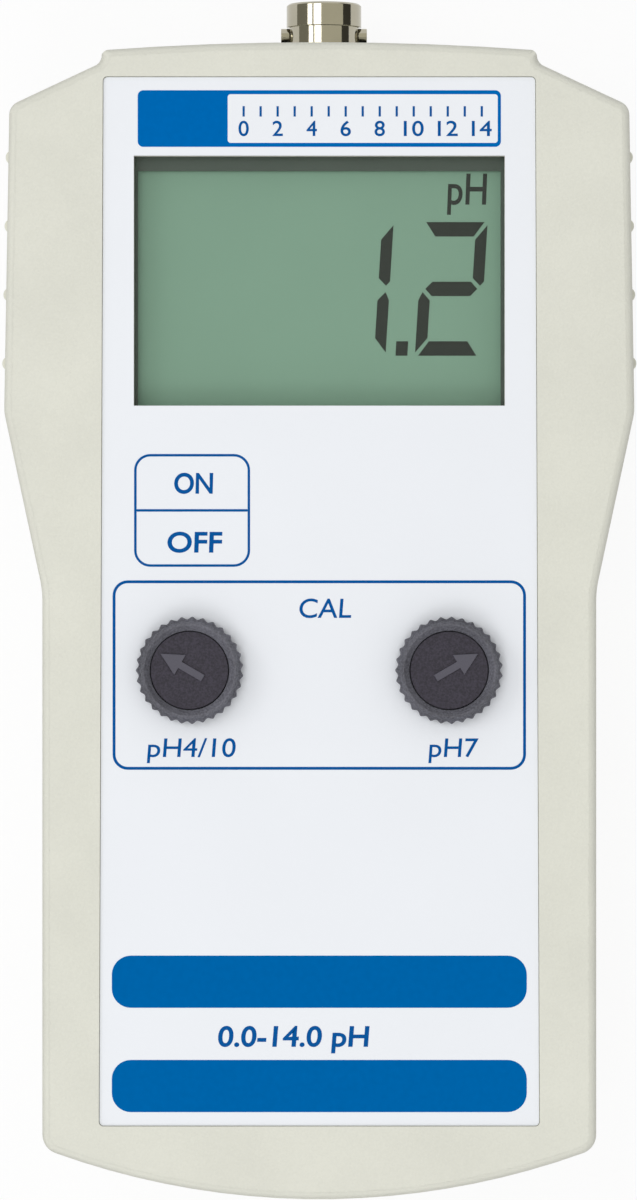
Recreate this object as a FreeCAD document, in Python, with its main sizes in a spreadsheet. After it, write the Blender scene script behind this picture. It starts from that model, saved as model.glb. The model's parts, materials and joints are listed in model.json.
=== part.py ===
"""A handheld digital pH meter: two moulded case halves, a printed front film with a press key, a
liquid crystal display, two calibration knobs on trimmers, a BNC probe socket and a 9 V battery behind
a sliding door.

Millimetres. +X is right and +Y is up as the front is read, and +Z points out of the front. The origin
is the centre of the back, on which the meter lies.
"""

import FreeCAD, Part
import Sketcher
import math
import os
import re
from FreeCAD import Placement, Rotation, Vector

SIZES = (
    # case outline, at the parting plane
    ("half_length", 72.7, "case centre to the top of the crown, and to the lowest point of the bottom"),
    ("low_half_width", 34.8, "half width of the hand grip"),
    ("grip_half_width", 39.6, "half width at the widest point"),
    ("shoulder_tuck", 0.65, "how much narrower the case is at the shoulders than at its widest"),
    ("waist_y", 3.8, "height at which the grip starts to widen"),
    ("grip_y", 26.2, "height of the widest point"),
    ("shoulder_drop", 8.0, "top of the crown down to the shoulder corners"),
    ("crown_foot_half", 27.45, "half width of the crown where it leaves the shoulders"),
    ("crown_drop", 2.6, "top of the crown down to its foot"),
    ("crown_half_width", 27.3, "half width of the crown at its top"),
    ("crown_rise", 1.0, "bulge of the crown's top"),
    ("bottom_rise", 6.4, "bulge of the bottom"),
    ("bottom_corner_round", 2.5, "radius of the two bottom corners"),
    ("shoulder_corner_round", 1.8, "radius of the two shoulder corners"),
    ("waist_round", 12.0, "radius of the blend at the waist"),
    ("grip_round", 6.0, "radius of the blend at the widest point"),
    # case section
    ("case_thick", 29.0, "back face to front face"),
    ("parting_z", 12.0, "height of the parting plane"),
    ("front_bevel", 1.0, "bevel of the front edges"),
    ("back_bevel", 1.8, "bevel of the back edges"),
    ("side_wall", 2.2, "side wall at the parting plane"),
    ("panel_wall", 2.5, "front wall"),
    ("back_wall", 2.2, "back wall"),
    ("lip_inset", 1.15, "outer face of the case to the rebate for the lip"),
    ("lip_gap", 0.1, "clearance round the lip"),
    ("lip_height", 1.5, "height of the rear shell's lip"),
    ("rib_count", 4, "finger ribs on each side"),
    ("rib_drop", 6.3, "shoulder corners down to the top rib"),
    ("rib_pitch", 8.66, "rib to rib"),
    ("rib_radius", 0.9, "radius of a rib"),
    ("rib_proud", 0.48, "how far a rib stands out of the wall"),
    ("rib_margin", 3.4, "case face to the rounded end of a rib"),
    # front film and what shows through it
    ("film_top_half", 27.1, "half width of the film at its top"),
    ("film_low_half", 27.6, "half width of the film at its bottom"),
    ("film_top_margin", 4.45, "top of the crown to the film"),
    ("film_low_margin", 9.3, "bottom of the case to the film"),
    ("film_thick", 0.25, "film"),
    ("film_round", 0.5, "corner radius of the film"),
    ("film_gap", 0.08, "clearance round the film in its recess"),
    ("film_sunk", 0.35, "front face of the case to the face of the film"),
    ("window_half", 23.3, "half width of the display window"),
    ("window_drop", 9.85, "film's top edge down to the display window"),
    ("window_high", 31.4, "height of the display window"),
    ("lens_border", 1.7, "how far the lens reaches under the film"),
    ("lens_thick", 1.0, "lens"),
    ("lens_gap", 0.1, "clearance round the lens"),
    # display
    ("display_band", 1.75, "strip of the display frame that shows under the window's top edge"),
    ("display_reveal", 0.45, "strip of the display frame that shows at each side"),
    ("frame_border", 2.7, "window edge to the outside of the display frame"),
    ("frame_wall", 1.3, "wall of the display frame"),
    ("frame_lip", 0.8, "front lip of the display frame"),
    ("frame_gap", 0.2, "display frame to the case's front wall"),
    ("glass_gap", 0.1, "clearance round the glass"),
    ("glass_thick", 1.1, "each sheet of glass"),
    ("polariser_thick", 0.2, "each polariser"),
    ("contact_ledge", 2.9, "strip of the front glass left bare for its contacts"),
    ("zebra_wide", 2.0, "width of an elastomer contact strip"),
    # circuit board
    ("board_boss_gap", 1.3, "board to the upper bosses"),
    ("board_top_drop", 3.6, "front of the socket's housing to the board's top edge"),
    ("board_low_margin", 6.7, "knob axis down to the board's lower edge"),
    ("board_z", 18.6, "underside of the board"),
    ("board_thick", 1.6, "board"),
    ("post_top_inset", 3.0, "side of the board to the upper board posts"),
    ("post_top_drop", 2.8, "top of the board to the upper board posts"),
    ("post_low_inset", 2.5, "side of the board to the lower board posts"),
    ("post_low_rise", 8.8, "knob axis up to the lower board posts"),
    ("post_radius", 2.2, "board post"),
    ("board_hole_gap", 0.15, "clearance of screws and pins in the board"),
    ("board_screw_radius", 0.85, "board screw thread"),
    ("board_screw_long", 6.0, "board screw under its head"),
    ("board_head_radius", 1.9, "board screw head"),
    ("board_head_high", 1.3, "board screw head"),
    # case screws and their bosses
    ("boss_top_inset", 7.4, "widest point of the case to the upper bosses"),
    ("boss_top_drop", 10.7, "shoulder corners down to the upper bosses"),
    ("boss_low_inset", 6.45, "side of the grip to the lower bosses"),
    ("boss_low_rise", 13.2, "bottom of the case to the lower bosses"),
    ("boss_radius", 3.4, "front boss"),
    ("case_screw_radius", 1.25, "case screw thread"),
    ("case_screw_long", 12.0, "case screw under its head"),
    ("case_head_radius", 2.6, "case screw head"),
    ("case_head_high", 1.8, "case screw head"),
    ("head_seat_z", 6.0, "height of the seat for the case screw heads"),
    ("boss_meet_z", 9.0, "height at which the front and rear bosses meet"),
    ("boss_gap", 0.1, "clearance between the bosses"),
    ("head_gap", 0.4, "clearance round a case screw head"),
    ("boss_rim", 0.9, "wall round a case screw's counterbore"),
    ("screw_gap", 0.05, "clearance of a thread in its pilot hole"),
    # power key
    ("key_x", -15.97, "key centre"),
    ("key_drop", 13.15, "window's lower edge down to the key's centre"),
    ("key_wide", 14.3, "width of the key"),
    ("key_high", 13.9, "height of the key"),
    ("key_round", 1.9, "corner radius of the key"),
    ("key_gap", 0.1, "clearance round the key"),
    ("key_travel", 0.4, "travel of the key"),
    ("actuator_gap", 0.3, "clearance of the actuator in its opening"),
    ("actuator_flange", 1.1, "how far the actuator's flange reaches past its opening"),
    ("actuator_flange_thick", 0.8, "flange of the actuator"),
    ("actuator_stem", 2.2, "radius of the actuator's stem"),
    ("switch_wide", 6.2, "switch housing"),
    ("switch_high", 3.5, "switch housing"),
    ("plunger_radius", 1.75, "switch plunger"),
    ("plunger_proud", 0.9, "how far the switch plunger stands out"),
    ("plunger_hold", 0.8, "how far the switch plunger reaches into its housing"),
    ("key_seat_gap", 0.1, "actuator flange to the front wall, and pressed plunger to its floor"),
    ("plunger_gap", 0.08, "clearance round the switch plunger"),
    # calibration knobs and trimmers
    ("knob_x", 16.25, "knobs from the centre line"),
    ("knob_drop", 20.05, "key's centre down to the knobs"),
    ("knob_lift", 0.3, "film to the underside of a knob"),
    ("knob_high", 3.05, "knob above its underside"),
    ("knob_base_radius", 6.75, "knob at its underside"),
    ("knob_rim_radius", 6.05, "outer edge of the knob's flat rim"),
    ("knob_shoulder", 0.6, "height of the rounded shoulder"),
    ("knob_bowl_radius", 4.95, "recess for the cap"),
    ("knob_bowl_flare", 0.5, "widening of the recess at the rim"),
    ("knob_floor", 1.5, "underside of the knob to the floor of the recess"),
    ("knurl_count", 31, "grooves round a knob"),
    ("knurl_half", 0.66, "half width of a groove at its mouth"),
    ("knurl_deep", 0.35, "depth of a groove at the underside"),
    ("knurl_over", 0.02, "how far a groove's cut reaches past the knob"),
    ("cap_gap", 0.1, "clearance round the cap"),
    ("cap_thick", 0.9, "cap"),
    ("arrow_proud", 0.25, "height of the arrow on the cap"),
    ("arrow_tip", 4.2, "cap centre to the arrow's tip"),
    ("arrow_tail", 1.95, "cap centre to the arrow's tail"),
    ("arrow_head_long", 2.85, "arrow head"),
    ("arrow_head_half", 1.45, "half width of the arrow head"),
    ("arrow_shaft_half", 0.45, "half width of the arrow's shaft"),
    ("arrow_lean", 60.0, "lean of each arrow away from upright, degrees"),
    ("stem_radius", 2.6, "knob stem"),
    ("stem_hole_gap", 0.5, "clearance of the stem in the case"),
    ("spindle_radius", 1.93, "end of the stem in the trimmer"),
    ("spindle_low_gap", 0.8, "board to the end of the spindle"),
    ("spindle_floor", 0.5, "board to the floor of the trimmer's well"),
    ("spindle_gap", 0.02, "fit of the spindle in the rotor"),
    ("trimmer_wide", 13.0, "trimmer housing"),
    ("trimmer_high", 5.2, "trimmer housing"),
    ("trimmer_chamfer", 2.2, "corners of the trimmer housing"),
    ("rotor_radius", 4.2, "trimmer rotor"),
    ("rotor_thick", 1.5, "trimmer rotor"),
    ("rotor_gap", 0.08, "clearance round the rotor"),
    ("trimmer_well", 2.4, "radius of the well under the rotor"),
    ("pin_side", 0.8, "trimmer pin, square"),
    ("pin_pitch", 2.5, "trimmer pin to pin"),
    ("pin_offset", 4.9, "trimmer axis to its row of pins"),
    ("pin_proud", 1.0, "pins below the board"),
    # probe socket
    ("socket_x", 0.6, "socket axis from the centre line"),
    ("barrel_radius", 4.8, "outer radius of the socket's mouth"),
    ("neck_step", 0.35, "how much thinner the barrel is behind its mouth"),
    ("barrel_bore", 4.05, "bore of the barrel"),
    ("socket_reach", 6.3, "top of the crown to the face of the socket"),
    ("barrel_lip_long", 3.0, "length of the barrel's thicker mouth"),
    ("barrel_deep", 8.2, "depth of the bore"),
    ("barrel_chamfer", 0.25, "chamfer at the mouth"),
    ("lug_drop", 4.1, "face of the socket to the lugs"),
    ("lug_radius", 1.0, "bayonet lug"),
    ("lug_span", 5.5, "socket axis to the end of a lug"),
    ("socket_hole_gap", 0.35, "clearance round the lugs in the case"),
    ("housing_half", 6.8, "half width of the socket's housing"),
    ("housing_drop", 2.7, "top of the crown to the front of the housing"),
    ("housing_long", 11.5, "length of the housing"),
    ("insulator_radius", 2.36, "insulator"),
    ("insulator_sunk", 0.7, "face of the socket to the insulator"),
    ("contact_radius", 0.9, "centre contact"),
    ("contact_bore", 0.7, "bore of the centre contact"),
    ("contact_sunk", 1.2, "face of the socket to the centre contact"),
    ("contact_tail", 8.0, "how far the centre contact reaches into the housing"),
    ("insulator_tail", 4.0, "how far the insulator reaches into the housing"),
    ("signal_pin_drop", 6.8, "front of the housing to the pin from the contact to the board"),
    ("signal_pin_side", 0.7, "pin from the contact to the board, square"),
    ("contact_deep", 5.0, "depth of the centre contact's bore"),
    ("socket_fit", 0.03, "fit of the insulator and the contact"),
    ("socket_post_side", 1.1, "solder post of the socket, square"),
    ("socket_post_x", 5.2, "solder posts from the socket's axis"),
    ("socket_post_drop", 5.8, "front of the housing to the solder posts"),
    ("socket_tail_gap", 0.5, "bore of the housing beyond the centre contact"),
    # battery and its bay
    ("cell_width", 26.5, "battery width"),
    ("cell_thick", 17.5, "battery thickness"),
    ("cell_long", 48.5, "battery length"),
    ("cell_foot", 5.2, "bottom of the case to the foot of the battery"),
    ("jacket_wall", 0.4, "steel jacket of the battery"),
    ("jacket_round", 2.5, "corner radius of the jacket"),
    ("plate_thick", 1.6, "end plate of the battery"),
    ("cell_gap", 0.1, "clearance of the cells in the jacket"),
    ("bay_side_gap", 0.75, "clearance at each side of the battery"),
    ("bay_end_gap", 0.3, "clearance at the foot and above the battery"),
    ("bay_wall", 1.5, "side walls and roof of the bay"),
    ("bay_end_wall", 1.2, "end walls of the bay"),
    ("terminal_pitch", 12.95, "terminal to terminal"),
    ("terminal_high", 3.0, "terminals"),
    ("stud_radius", 2.85, "male terminal"),
    ("cup_radius", 4.3, "female terminal across its corners"),
    ("cup_bore", 3.0, "opening of the female terminal"),
    ("snap_seat", 0.1, "battery to the snap"),
    ("snap_gap", 0.15, "clearance of the snap on the terminals"),
    ("snap_thick", 4.3, "snap"),
    ("snap_half", 12.8, "half width of the snap"),
    ("snap_depth", 15.0, "depth of the snap"),
    ("lead_radius", 0.55, "battery lead"),
    ("lead_z", 9.0, "height at which the leads leave the snap"),
    ("lead_x", 3.0, "leads from the centre line"),
    ("lead_slot_gap", 0.6, "clearance of the leads in the bay wall"),
    # battery door
    ("door_half", 17.5, "half width of the door"),
    ("door_past", 7.3, "how far the door reaches past the bay"),
    ("door_thick", 2.05, "door"),
    ("door_sunk", 0.15, "back face to the face of the door"),
    ("ledge_past", 3.0, "how far the ledge reaches past the door's top edge"),
    ("door_gap", 0.1, "clearance round the door"),
    ("ledge_thick", 1.5, "ledge that the door lies against"),
    ("ledge_half", 20.2, "half width of the ledge"),
    ("rail_out", 1.1, "how far the door's rails stand out"),
    ("rail_thick", 0.8, "rails"),
    ("rail_z", 1.1, "back face to the underside of the rails"),
    ("tab_half", 5.0, "half width of the tab at the door's top"),
    ("tab_long", 1.8, "tab"),
    ("grip_groove_count", 6, "grooves of the thumb grip"),
    ("grip_groove_pitch", 2.1, "groove to groove"),
    ("grip_groove_half", 8.0, "half length of a groove"),
    ("grip_groove_wide", 1.0, "groove"),
    ("grip_groove_deep", 0.5, "groove"),
    ("grip_groove_drop", 6.0, "door's top edge to the first groove"),
    # parts soldered to the back of the board
    ("driver_side", 12.0, "display driver chip"),
    ("driver_high", 2.2, "display driver chip"),
    ("driver_x", -8.0, "display driver chip"),
    ("driver_y", 42.0, "display driver chip"),
    ("amp_wide", 6.4, "amplifier chip"),
    ("amp_long", 9.6, "amplifier chip"),
    ("amp_high", 3.2, "amplifier chip"),
    ("amp_x", 12.0, "amplifier chips"),
    ("amp_y", 45.0, "upper amplifier chip"),
    ("amp_pitch", 15.0, "chip to chip"),
    ("can_radius", 2.5, "electrolytic capacitor"),
    ("can_high", 6.5, "electrolytic capacitor"),
    ("can_x", -19.0, "capacitors"),
    ("can_y", 22.0, "top capacitor"),
    ("can_pitch", 7.5, "capacitor to capacitor"),
    ("resistor_long", 6.0, "resistor"),
    ("resistor_radius", 1.1, "resistor"),
    ("resistor_x", -2.0, "resistors"),
    ("resistor_y", 26.0, "top resistor"),
    ("resistor_pitch", 3.6, "resistor to resistor"),
)
ALIASES = {alias for alias, number, meaning in SIZES}

# places that follow from the sizes
PLACES = {
    "shoulder_half_width": "grip_half_width - shoulder_tuck",
    "shoulder_y": "half_length - shoulder_drop",
    "crown_foot_y": "half_length - crown_drop",
    "crown_end_y": "half_length - crown_rise",
    "bottom_corner_y": "bottom_rise - half_length",
    "bottom_radius": "low_half_width^2 / (2 * bottom_rise) + bottom_rise / 2",
    "rib_top_y": "shoulder_y - rib_drop",
    "film_top_y": "half_length - film_top_margin",
    "film_low_y": "film_low_margin - half_length",
    "film_z": "case_thick - film_sunk - film_thick",
    "film_face_z": "case_thick - film_sunk",
    "panel_inside_z": "case_thick - panel_wall",
    "window_top_y": "film_top_y - window_drop",
    "window_low_y": "window_top_y - window_high",
    "lens_z": "film_z - lens_thick",
    "boss_top_x": "grip_half_width - boss_top_inset",
    "boss_top_y": "shoulder_y - boss_top_drop",
    "boss_low_x": "low_half_width - boss_low_inset",
    "boss_low_y": "boss_low_rise - half_length",
    "board_half": "boss_top_x - boss_radius - board_boss_gap",
    "board_top_y": "housing_front_y - board_top_drop",
    "board_low_y": "knob_y - board_low_margin",
    "board_face_z": "board_z + board_thick",
    "post_top_x": "board_half - post_top_inset",
    "post_top_y": "board_top_y - post_top_drop",
    "post_low_x": "board_half - post_low_inset",
    "post_low_y": "knob_y + post_low_rise",
    "frame_face_z": "panel_inside_z - frame_gap",
    "frame_half": "window_half + frame_border",
    "frame_low_y": "window_low_y - frame_border",
    "frame_top_y": "window_top_y + frame_border",
    "glass_half": "frame_half - frame_wall - glass_gap",
    "glass_low_y": "frame_low_y + frame_wall + glass_gap",
    "glass_top_y": "frame_top_y - frame_wall - glass_gap",
    "glass_z": "frame_face_z - frame_lip - polariser_thick - glass_thick",
    "key_y": "window_low_y - key_drop",
    "switch_top_z": "board_face_z + switch_high",
    "flange_low_z": "panel_inside_z - key_seat_gap - actuator_flange_thick",
    "knob_y": "key_y - knob_drop",
    "knob_z": "film_face_z + knob_lift",
    "trimmer_top_z": "board_face_z + trimmer_high",
    "barrel_mouth_y": "half_length + socket_reach",
    "barrel_step_y": "barrel_mouth_y - barrel_lip_long",
    "barrel_floor_y": "barrel_mouth_y - barrel_deep",
    "lug_y": "barrel_mouth_y - lug_drop",
    "housing_front_y": "half_length - housing_drop",
    "insulator_face_y": "barrel_mouth_y - insulator_sunk",
    "insulator_end_y": "housing_front_y - insulator_tail",
    "contact_face_y": "barrel_mouth_y - contact_sunk",
    "contact_end_y": "housing_front_y - contact_tail",
    "signal_pin_y": "housing_front_y - signal_pin_drop",
    "socket_post_y": "housing_front_y - socket_post_drop",
    "cell_low_y": "cell_foot - half_length",
    "cell_z": "door_sunk + door_thick + bay_end_gap",
    "cell_middle_z": "cell_z + cell_thick / 2",
    "cell_body_long": "cell_long - terminal_high",
    "cell_body_top_y": "cell_low_y + cell_body_long",
    "snap_low_y": "cell_body_top_y + snap_seat",
    "snap_top_y": "snap_low_y + snap_thick",
    "bay_half": "cell_width / 2 + bay_side_gap",
    "bay_outer": "bay_half + bay_wall",
    "bay_low_y": "cell_low_y - bay_end_gap",
    "bay_top_y": "snap_top_y + bay_end_gap",
    "bay_roof_z": "cell_z + cell_thick + bay_end_gap",
    "ledge_z": "door_sunk + door_thick + door_gap",
    "door_top_y": "bay_top_y + door_past",
    "grip_groove_y": "door_top_y - grip_groove_drop",
}

doc = FreeCAD.newDocument("ph_meter")
sheet = doc.addObject("Spreadsheet::Sheet", "sizes")
for row, (alias, number, meaning) in enumerate(SIZES, start=1):
    sheet.set(f"A{row}", meaning)
    sheet.set(f"B{row}", str(number))
    sheet.setAlias(f"B{row}", alias)
doc.recompute()


# ---- reading the sheet and binding to it --------------------------------------------------------------


def spell_out(text):
    """The expression with each place written as the sizes that it follows from."""

    def spelled(word):
        return f"({spell_out(PLACES[word[0]])})" if word[0] in PLACES else word[0]

    return re.sub(r"[a-z_]+", spelled, text)


def formula(text):
    """The expression with each size read from the sheet."""

    def from_sheet(word):
        return f"sizes.{word[0]}" if word[0] in ALIASES else word[0]

    return re.sub(r"[a-z_]+", from_sheet, spell_out(text))


def value(text):
    """What the expression is worth now."""
    return float(sheet.evalExpression(spell_out(text)))


def bind(target, **expressions):
    """Ties properties of an object to expressions; a double underscore stands for a dot."""
    for name, text in expressions.items():
        target.setExpression(name.replace("__", "."), formula(text))


# ---- sketches -----------------------------------------------------------------------------------------


def origin_plane(body, role):
    return next(item for item in body.Origin.OriginFeatures if item.Role == role)


def new_sketch(body, name, height="0", plane="XY_Plane"):
    """A sketch on one of the body's own planes, raised along that plane's normal."""
    sketch = body.newObject("Sketcher::SketchObject", name)
    sketch.AttachmentSupport = (origin_plane(body, plane), [""])
    sketch.MapMode = "FlatFace"
    bind(sketch, AttachmentOffset__Base__z=height)
    return sketch


def fix_point(sketch, edge, end, x, y):
    """Holds a point of the sketch at two expressions."""
    for kind, text, axis in (("DistanceX", x, -2), ("DistanceY", y, -1)):
        if text == "0":
            sketch.addConstraint(Sketcher.Constraint("PointOnObject", edge, end, axis))
        else:
            index = sketch.addConstraint(Sketcher.Constraint(kind, -1, 1, edge, end, value(text)))
            sketch.setExpression(f"Constraints[{index}]", formula(text))


def add_loop(sketch, corners):
    """A closed outline through corners, anticlockwise.

    A corner is (x, y), or (x, y, rise) where the side that follows it is an arc that bulges by rise.
    """
    first = sketch.GeometryCount
    spots = [Vector(value(corner[0]), value(corner[1]), 0) for corner in corners]
    count = len(corners)
    for index, corner in enumerate(corners):
        start, end = spots[index], spots[(index + 1) % count]
        if len(corner) == 3:
            along = end - start
            outward = Vector(along.y, -along.x, 0).normalize()
            middle = (start + end) / 2 + outward * value(corner[2])
            sketch.addGeometry(Part.Arc(start, middle, end), False)
        else:
            sketch.addGeometry(Part.LineSegment(start, end), False)

    def end_of(index, spot):
        """1 or 2: which end of the side lies at the spot."""
        side = sketch.Geometry[first + index]
        return 1 if (side.StartPoint - spot).Length < (side.EndPoint - spot).Length else 2

    for index, corner in enumerate(corners):
        after = (index + 1) % count
        spot = spots[after]
        ends = (first + index, end_of(index, spot), first + after, end_of(after, spot))
        sketch.addConstraint(Sketcher.Constraint("Coincident", *ends))
    for index, corner in enumerate(corners):
        fix_point(sketch, first + index, end_of(index, spots[index]), corner[0], corner[1])
        if len(corner) == 3:
            far = corners[(index + 1) % count]
            run, climb = f"(({far[0]}) - ({corner[0]}))", f"(({far[1]}) - ({corner[1]}))"
            chord = f"sqrt({run}^2 + {climb}^2)"
            to_centre = f"({chord}^2 / (8 * ({corner[2]})) - ({corner[2]}) / 2)"
            centre_y = f"({corner[1]}) + {climb} / 2 + {run} / {chord} * {to_centre}"
            height = Sketcher.Constraint("DistanceY", -1, 1, first + index, 3, value(centre_y))
            held = sketch.addConstraint(height)
            sketch.setExpression(f"Constraints[{held}]", formula(centre_y))


def loop_sketch(body, name, corners, height="0", plane="XY_Plane"):
    sketch = new_sketch(body, name, height, plane)
    add_loop(sketch, corners)
    return sketch


def box_corners(left, right, low, high):
    return ((left, low), (right, low), (right, high), (left, high))


def centred_box(x, y, wide, high):
    """Corners of a rectangle about a centre."""
    left, right = f"{x} - ({wide}) / 2", f"{x} + ({wide}) / 2"
    return box_corners(left, right, f"{y} - ({high}) / 2", f"{y} + ({high}) / 2")


def rounded_box(left, right, low, high, radius):
    """Corners of a rectangle with a quarter circle at each corner."""
    rise = f"({radius}) * (1 - sqrt(0.5))"
    return (
        (f"{left} + ({radius})", low),
        (f"{right} - ({radius})", low, rise),
        (right, f"{low} + ({radius})"),
        (right, f"{high} - ({radius})", rise),
        (f"{right} - ({radius})", high),
        (f"{left} + ({radius})", high, rise),
        (left, f"{high} - ({radius})"),
        (left, f"{low} + ({radius})", rise),
    )


def boxes_sketch(body, name, boxes, height="0"):
    """A sketch of rectangles, each a set of corners."""
    sketch = new_sketch(body, name, height)
    for corners in boxes:
        add_loop(sketch, corners)
    return sketch


def circle_sketch(body, name, circles, height="0", plane="XY_Plane"):
    """A sketch of circles, each (x, y, radius)."""
    sketch = new_sketch(body, name, height, plane)
    for x, y, radius in circles:
        circle = Part.Circle(Vector(value(x), value(y), 0), Vector(0, 0, 1), value(radius))
        edge = sketch.addGeometry(circle, False)
        fix_point(sketch, edge, 3, x, y)
        held = sketch.addConstraint(Sketcher.Constraint("Radius", edge, value(radius)))
        sketch.setExpression(f"Constraints[{held}]", formula(radius))
    return sketch


def mirrored_pair(x, y):
    return ((x, y), (f"-({x})", y))


# ---- features -----------------------------------------------------------------------------------------


def new_body(label):
    body = doc.addObject("PartDesign::Body", label)
    body.Label = label
    return body


def pad(body, sketch, length, down=False):
    feature = body.newObject("PartDesign::Pad", f"{sketch.Name}_pad")
    feature.Profile = sketch
    feature.Reversed = down
    bind(feature, Length=length)
    doc.recompute()
    return feature


def pocket(body, sketch, depth, up=False):
    """Cuts the sketch into the body, and stops if nothing was cut."""
    before = body.Shape.Volume
    feature = body.newObject("PartDesign::Pocket", f"{sketch.Name}_cut")
    feature.Profile = sketch
    feature.Reversed = up
    bind(feature, Length=depth)
    doc.recompute()
    if not body.Shape.Volume < before:
        raise RuntimeError(f"{feature.Name} cuts nothing from {body.Label}")
    return feature


def revolve(body, sketch):
    """Turns a profile about the sketch's own upright axis."""
    feature = body.newObject("PartDesign::Revolution", f"{sketch.Name}_turned")
    feature.Profile = sketch
    feature.ReferenceAxis = (sketch, ["V_Axis"])
    feature.Angle = 360.0
    doc.recompute()
    return feature


def fillet(body, chosen, radius):
    """Rounds the edges of the body's last feature for which chosen(edge) is true."""
    base = body.Tip
    names = [f"Edge{number}" for number, edge in enumerate(base.Shape.Edges, start=1) if chosen(edge)]
    if not names:
        raise RuntimeError(f"no edge to round on {body.Label}")
    feature = body.newObject("PartDesign::Fillet", f"{body.Name}_round")
    feature.Base = (base, names)
    bind(feature, Radius=radius)
    doc.recompute()
    return feature


def inset(body, sketch, distance, name):
    """The sketch's outline moved inwards, for a wall or a lip."""
    binder = body.newObject("PartDesign::SubShapeBinder", name)
    binder.Support = [(sketch, "")]
    bind(binder, Offset=f"-({distance})")
    doc.recompute()
    return binder


def level(height):
    """Chooses edges that lie in a horizontal plane."""
    z = value(height)

    def chosen(edge):
        box = edge.BoundBox
        return abs(box.ZMin - z) < 1e-4 and abs(box.ZMax - z) < 1e-4

    return chosen


def rising_from(height, spots):
    """Chooses edges that leave a horizontal plane at one of the spots."""
    z = value(height)
    feet = [Vector(value(x), value(y), z) for x, y in spots]

    def chosen(edge):
        box = edge.BoundBox
        if box.ZMax - box.ZMin < 0.1:
            return False
        return any((vertex.Point - foot).Length < 1e-3 for vertex in edge.Vertexes for foot in feet)

    return chosen


# ---- shared places ------------------------------------------------------------------------------------

BOSSES = (
    *mirrored_pair("boss_top_x", "boss_top_y"),
    *mirrored_pair("boss_low_x", "boss_low_y"),
)
POSTS = (
    *mirrored_pair("post_top_x", "post_top_y"),
    *mirrored_pair("post_low_x", "post_low_y"),
)
TRIMMERS = mirrored_pair("knob_x", "knob_y")
TRIMMER_PINS = tuple(
    (f"({x} + ({place}) * pin_pitch)", "(knob_y - pin_offset)") for x, y in TRIMMERS for place in (-1, 0, 1)
)
SOCKET_POSTS = (
    ("(socket_x - socket_post_x)", "socket_post_y"),
    ("(socket_x + socket_post_x)", "socket_post_y"),
)
SIGNAL_PIN = ("socket_x", "signal_pin_y")


# ---- case ---------------------------------------------------------------------------------------------


def case_outline(body, name, height):
    """The outline of the case at the parting plane, right side first and then its mirror image."""
    right = (
        ("low_half_width", "bottom_corner_y"),
        ("low_half_width", "waist_y"),
        ("grip_half_width", "grip_y"),
        ("shoulder_half_width", "shoulder_y"),
        ("crown_foot_half", "crown_foot_y"),
        ("crown_half_width", "crown_end_y", "crown_rise"),
    )
    left = (
        ("-crown_half_width", "crown_end_y"),
        ("-crown_foot_half", "crown_foot_y"),
        ("-shoulder_half_width", "shoulder_y"),
        ("-grip_half_width", "grip_y"),
        ("-low_half_width", "waist_y"),
        ("-low_half_width", "bottom_corner_y", "bottom_rise"),
    )
    return loop_sketch(body, name, right + left, height)


def bevel(body, chosen, size):
    """Chamfers the edges of the body's last feature for which chosen(edge) is true."""
    base = body.Tip
    names = [f"Edge{number}" for number, edge in enumerate(base.Shape.Edges, start=1) if chosen(edge)]
    if not names:
        raise RuntimeError(f"no edge to bevel on {body.Label}")
    feature = body.newObject("PartDesign::Chamfer", f"{body.Name}_bevel")
    feature.Base = (base, names)
    bind(feature, Size=size)
    doc.recompute()
    return feature


def case_block(body, down, thickness, edge_height, edge_bevel):
    """The solid outside of one half: rounded corners, a bevelled outer edge and the finger ribs."""
    outline = case_outline(body, f"{body.Name}_outline", "parting_z")
    pad(body, outline, thickness, down=down)
    corner_rounds = (
        (mirrored_pair("low_half_width", "bottom_corner_y"), "bottom_corner_round"),
        (mirrored_pair("low_half_width", "waist_y"), "waist_round"),
        (mirrored_pair("grip_half_width", "grip_y"), "grip_round"),
        (mirrored_pair("shoulder_half_width", "shoulder_y"), "shoulder_corner_round"),
    )
    for spots, radius in corner_rounds:
        fillet(body, rising_from("parting_z", spots), radius)
    bevel(body, level(edge_height), edge_bevel)
    ribs = []
    for index in range(int(value("rib_count"))):
        rib_y = f"(rib_top_y - {index} * rib_pitch)"
        slope = "shoulder_tuck / (shoulder_y - grip_y)"
        wall_x = f"(grip_half_width - ({rib_y} - grip_y) * {slope})"
        for spot in mirrored_pair(f"({wall_x} - rib_radius + rib_proud)", rib_y):
            ribs.append((*spot, "rib_radius"))
    sketch = circle_sketch(body, f"{body.Name}_ribs", ribs, "parting_z")
    pad(body, sketch, f"{thickness} - rib_margin", down=down)
    return outline


def foot_y(half):
    """Height of the bottom's outline at a distance from the centre line."""
    return f"(bottom_radius - half_length - sqrt(bottom_radius^2 - ({half})^2))"


def socket_notch(body):
    """Each half of the case carries half of the round hole that the probe socket stands in."""
    mouth = circle_sketch(
        body,
        f"{body.Name}_socket_hole",
        (("socket_x", "parting_z", "lug_span + socket_hole_gap"),),
        "-(half_length + 1)",
        "XZ_Plane",
    )
    pocket(body, mouth, "side_wall + 4", up=True)


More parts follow.
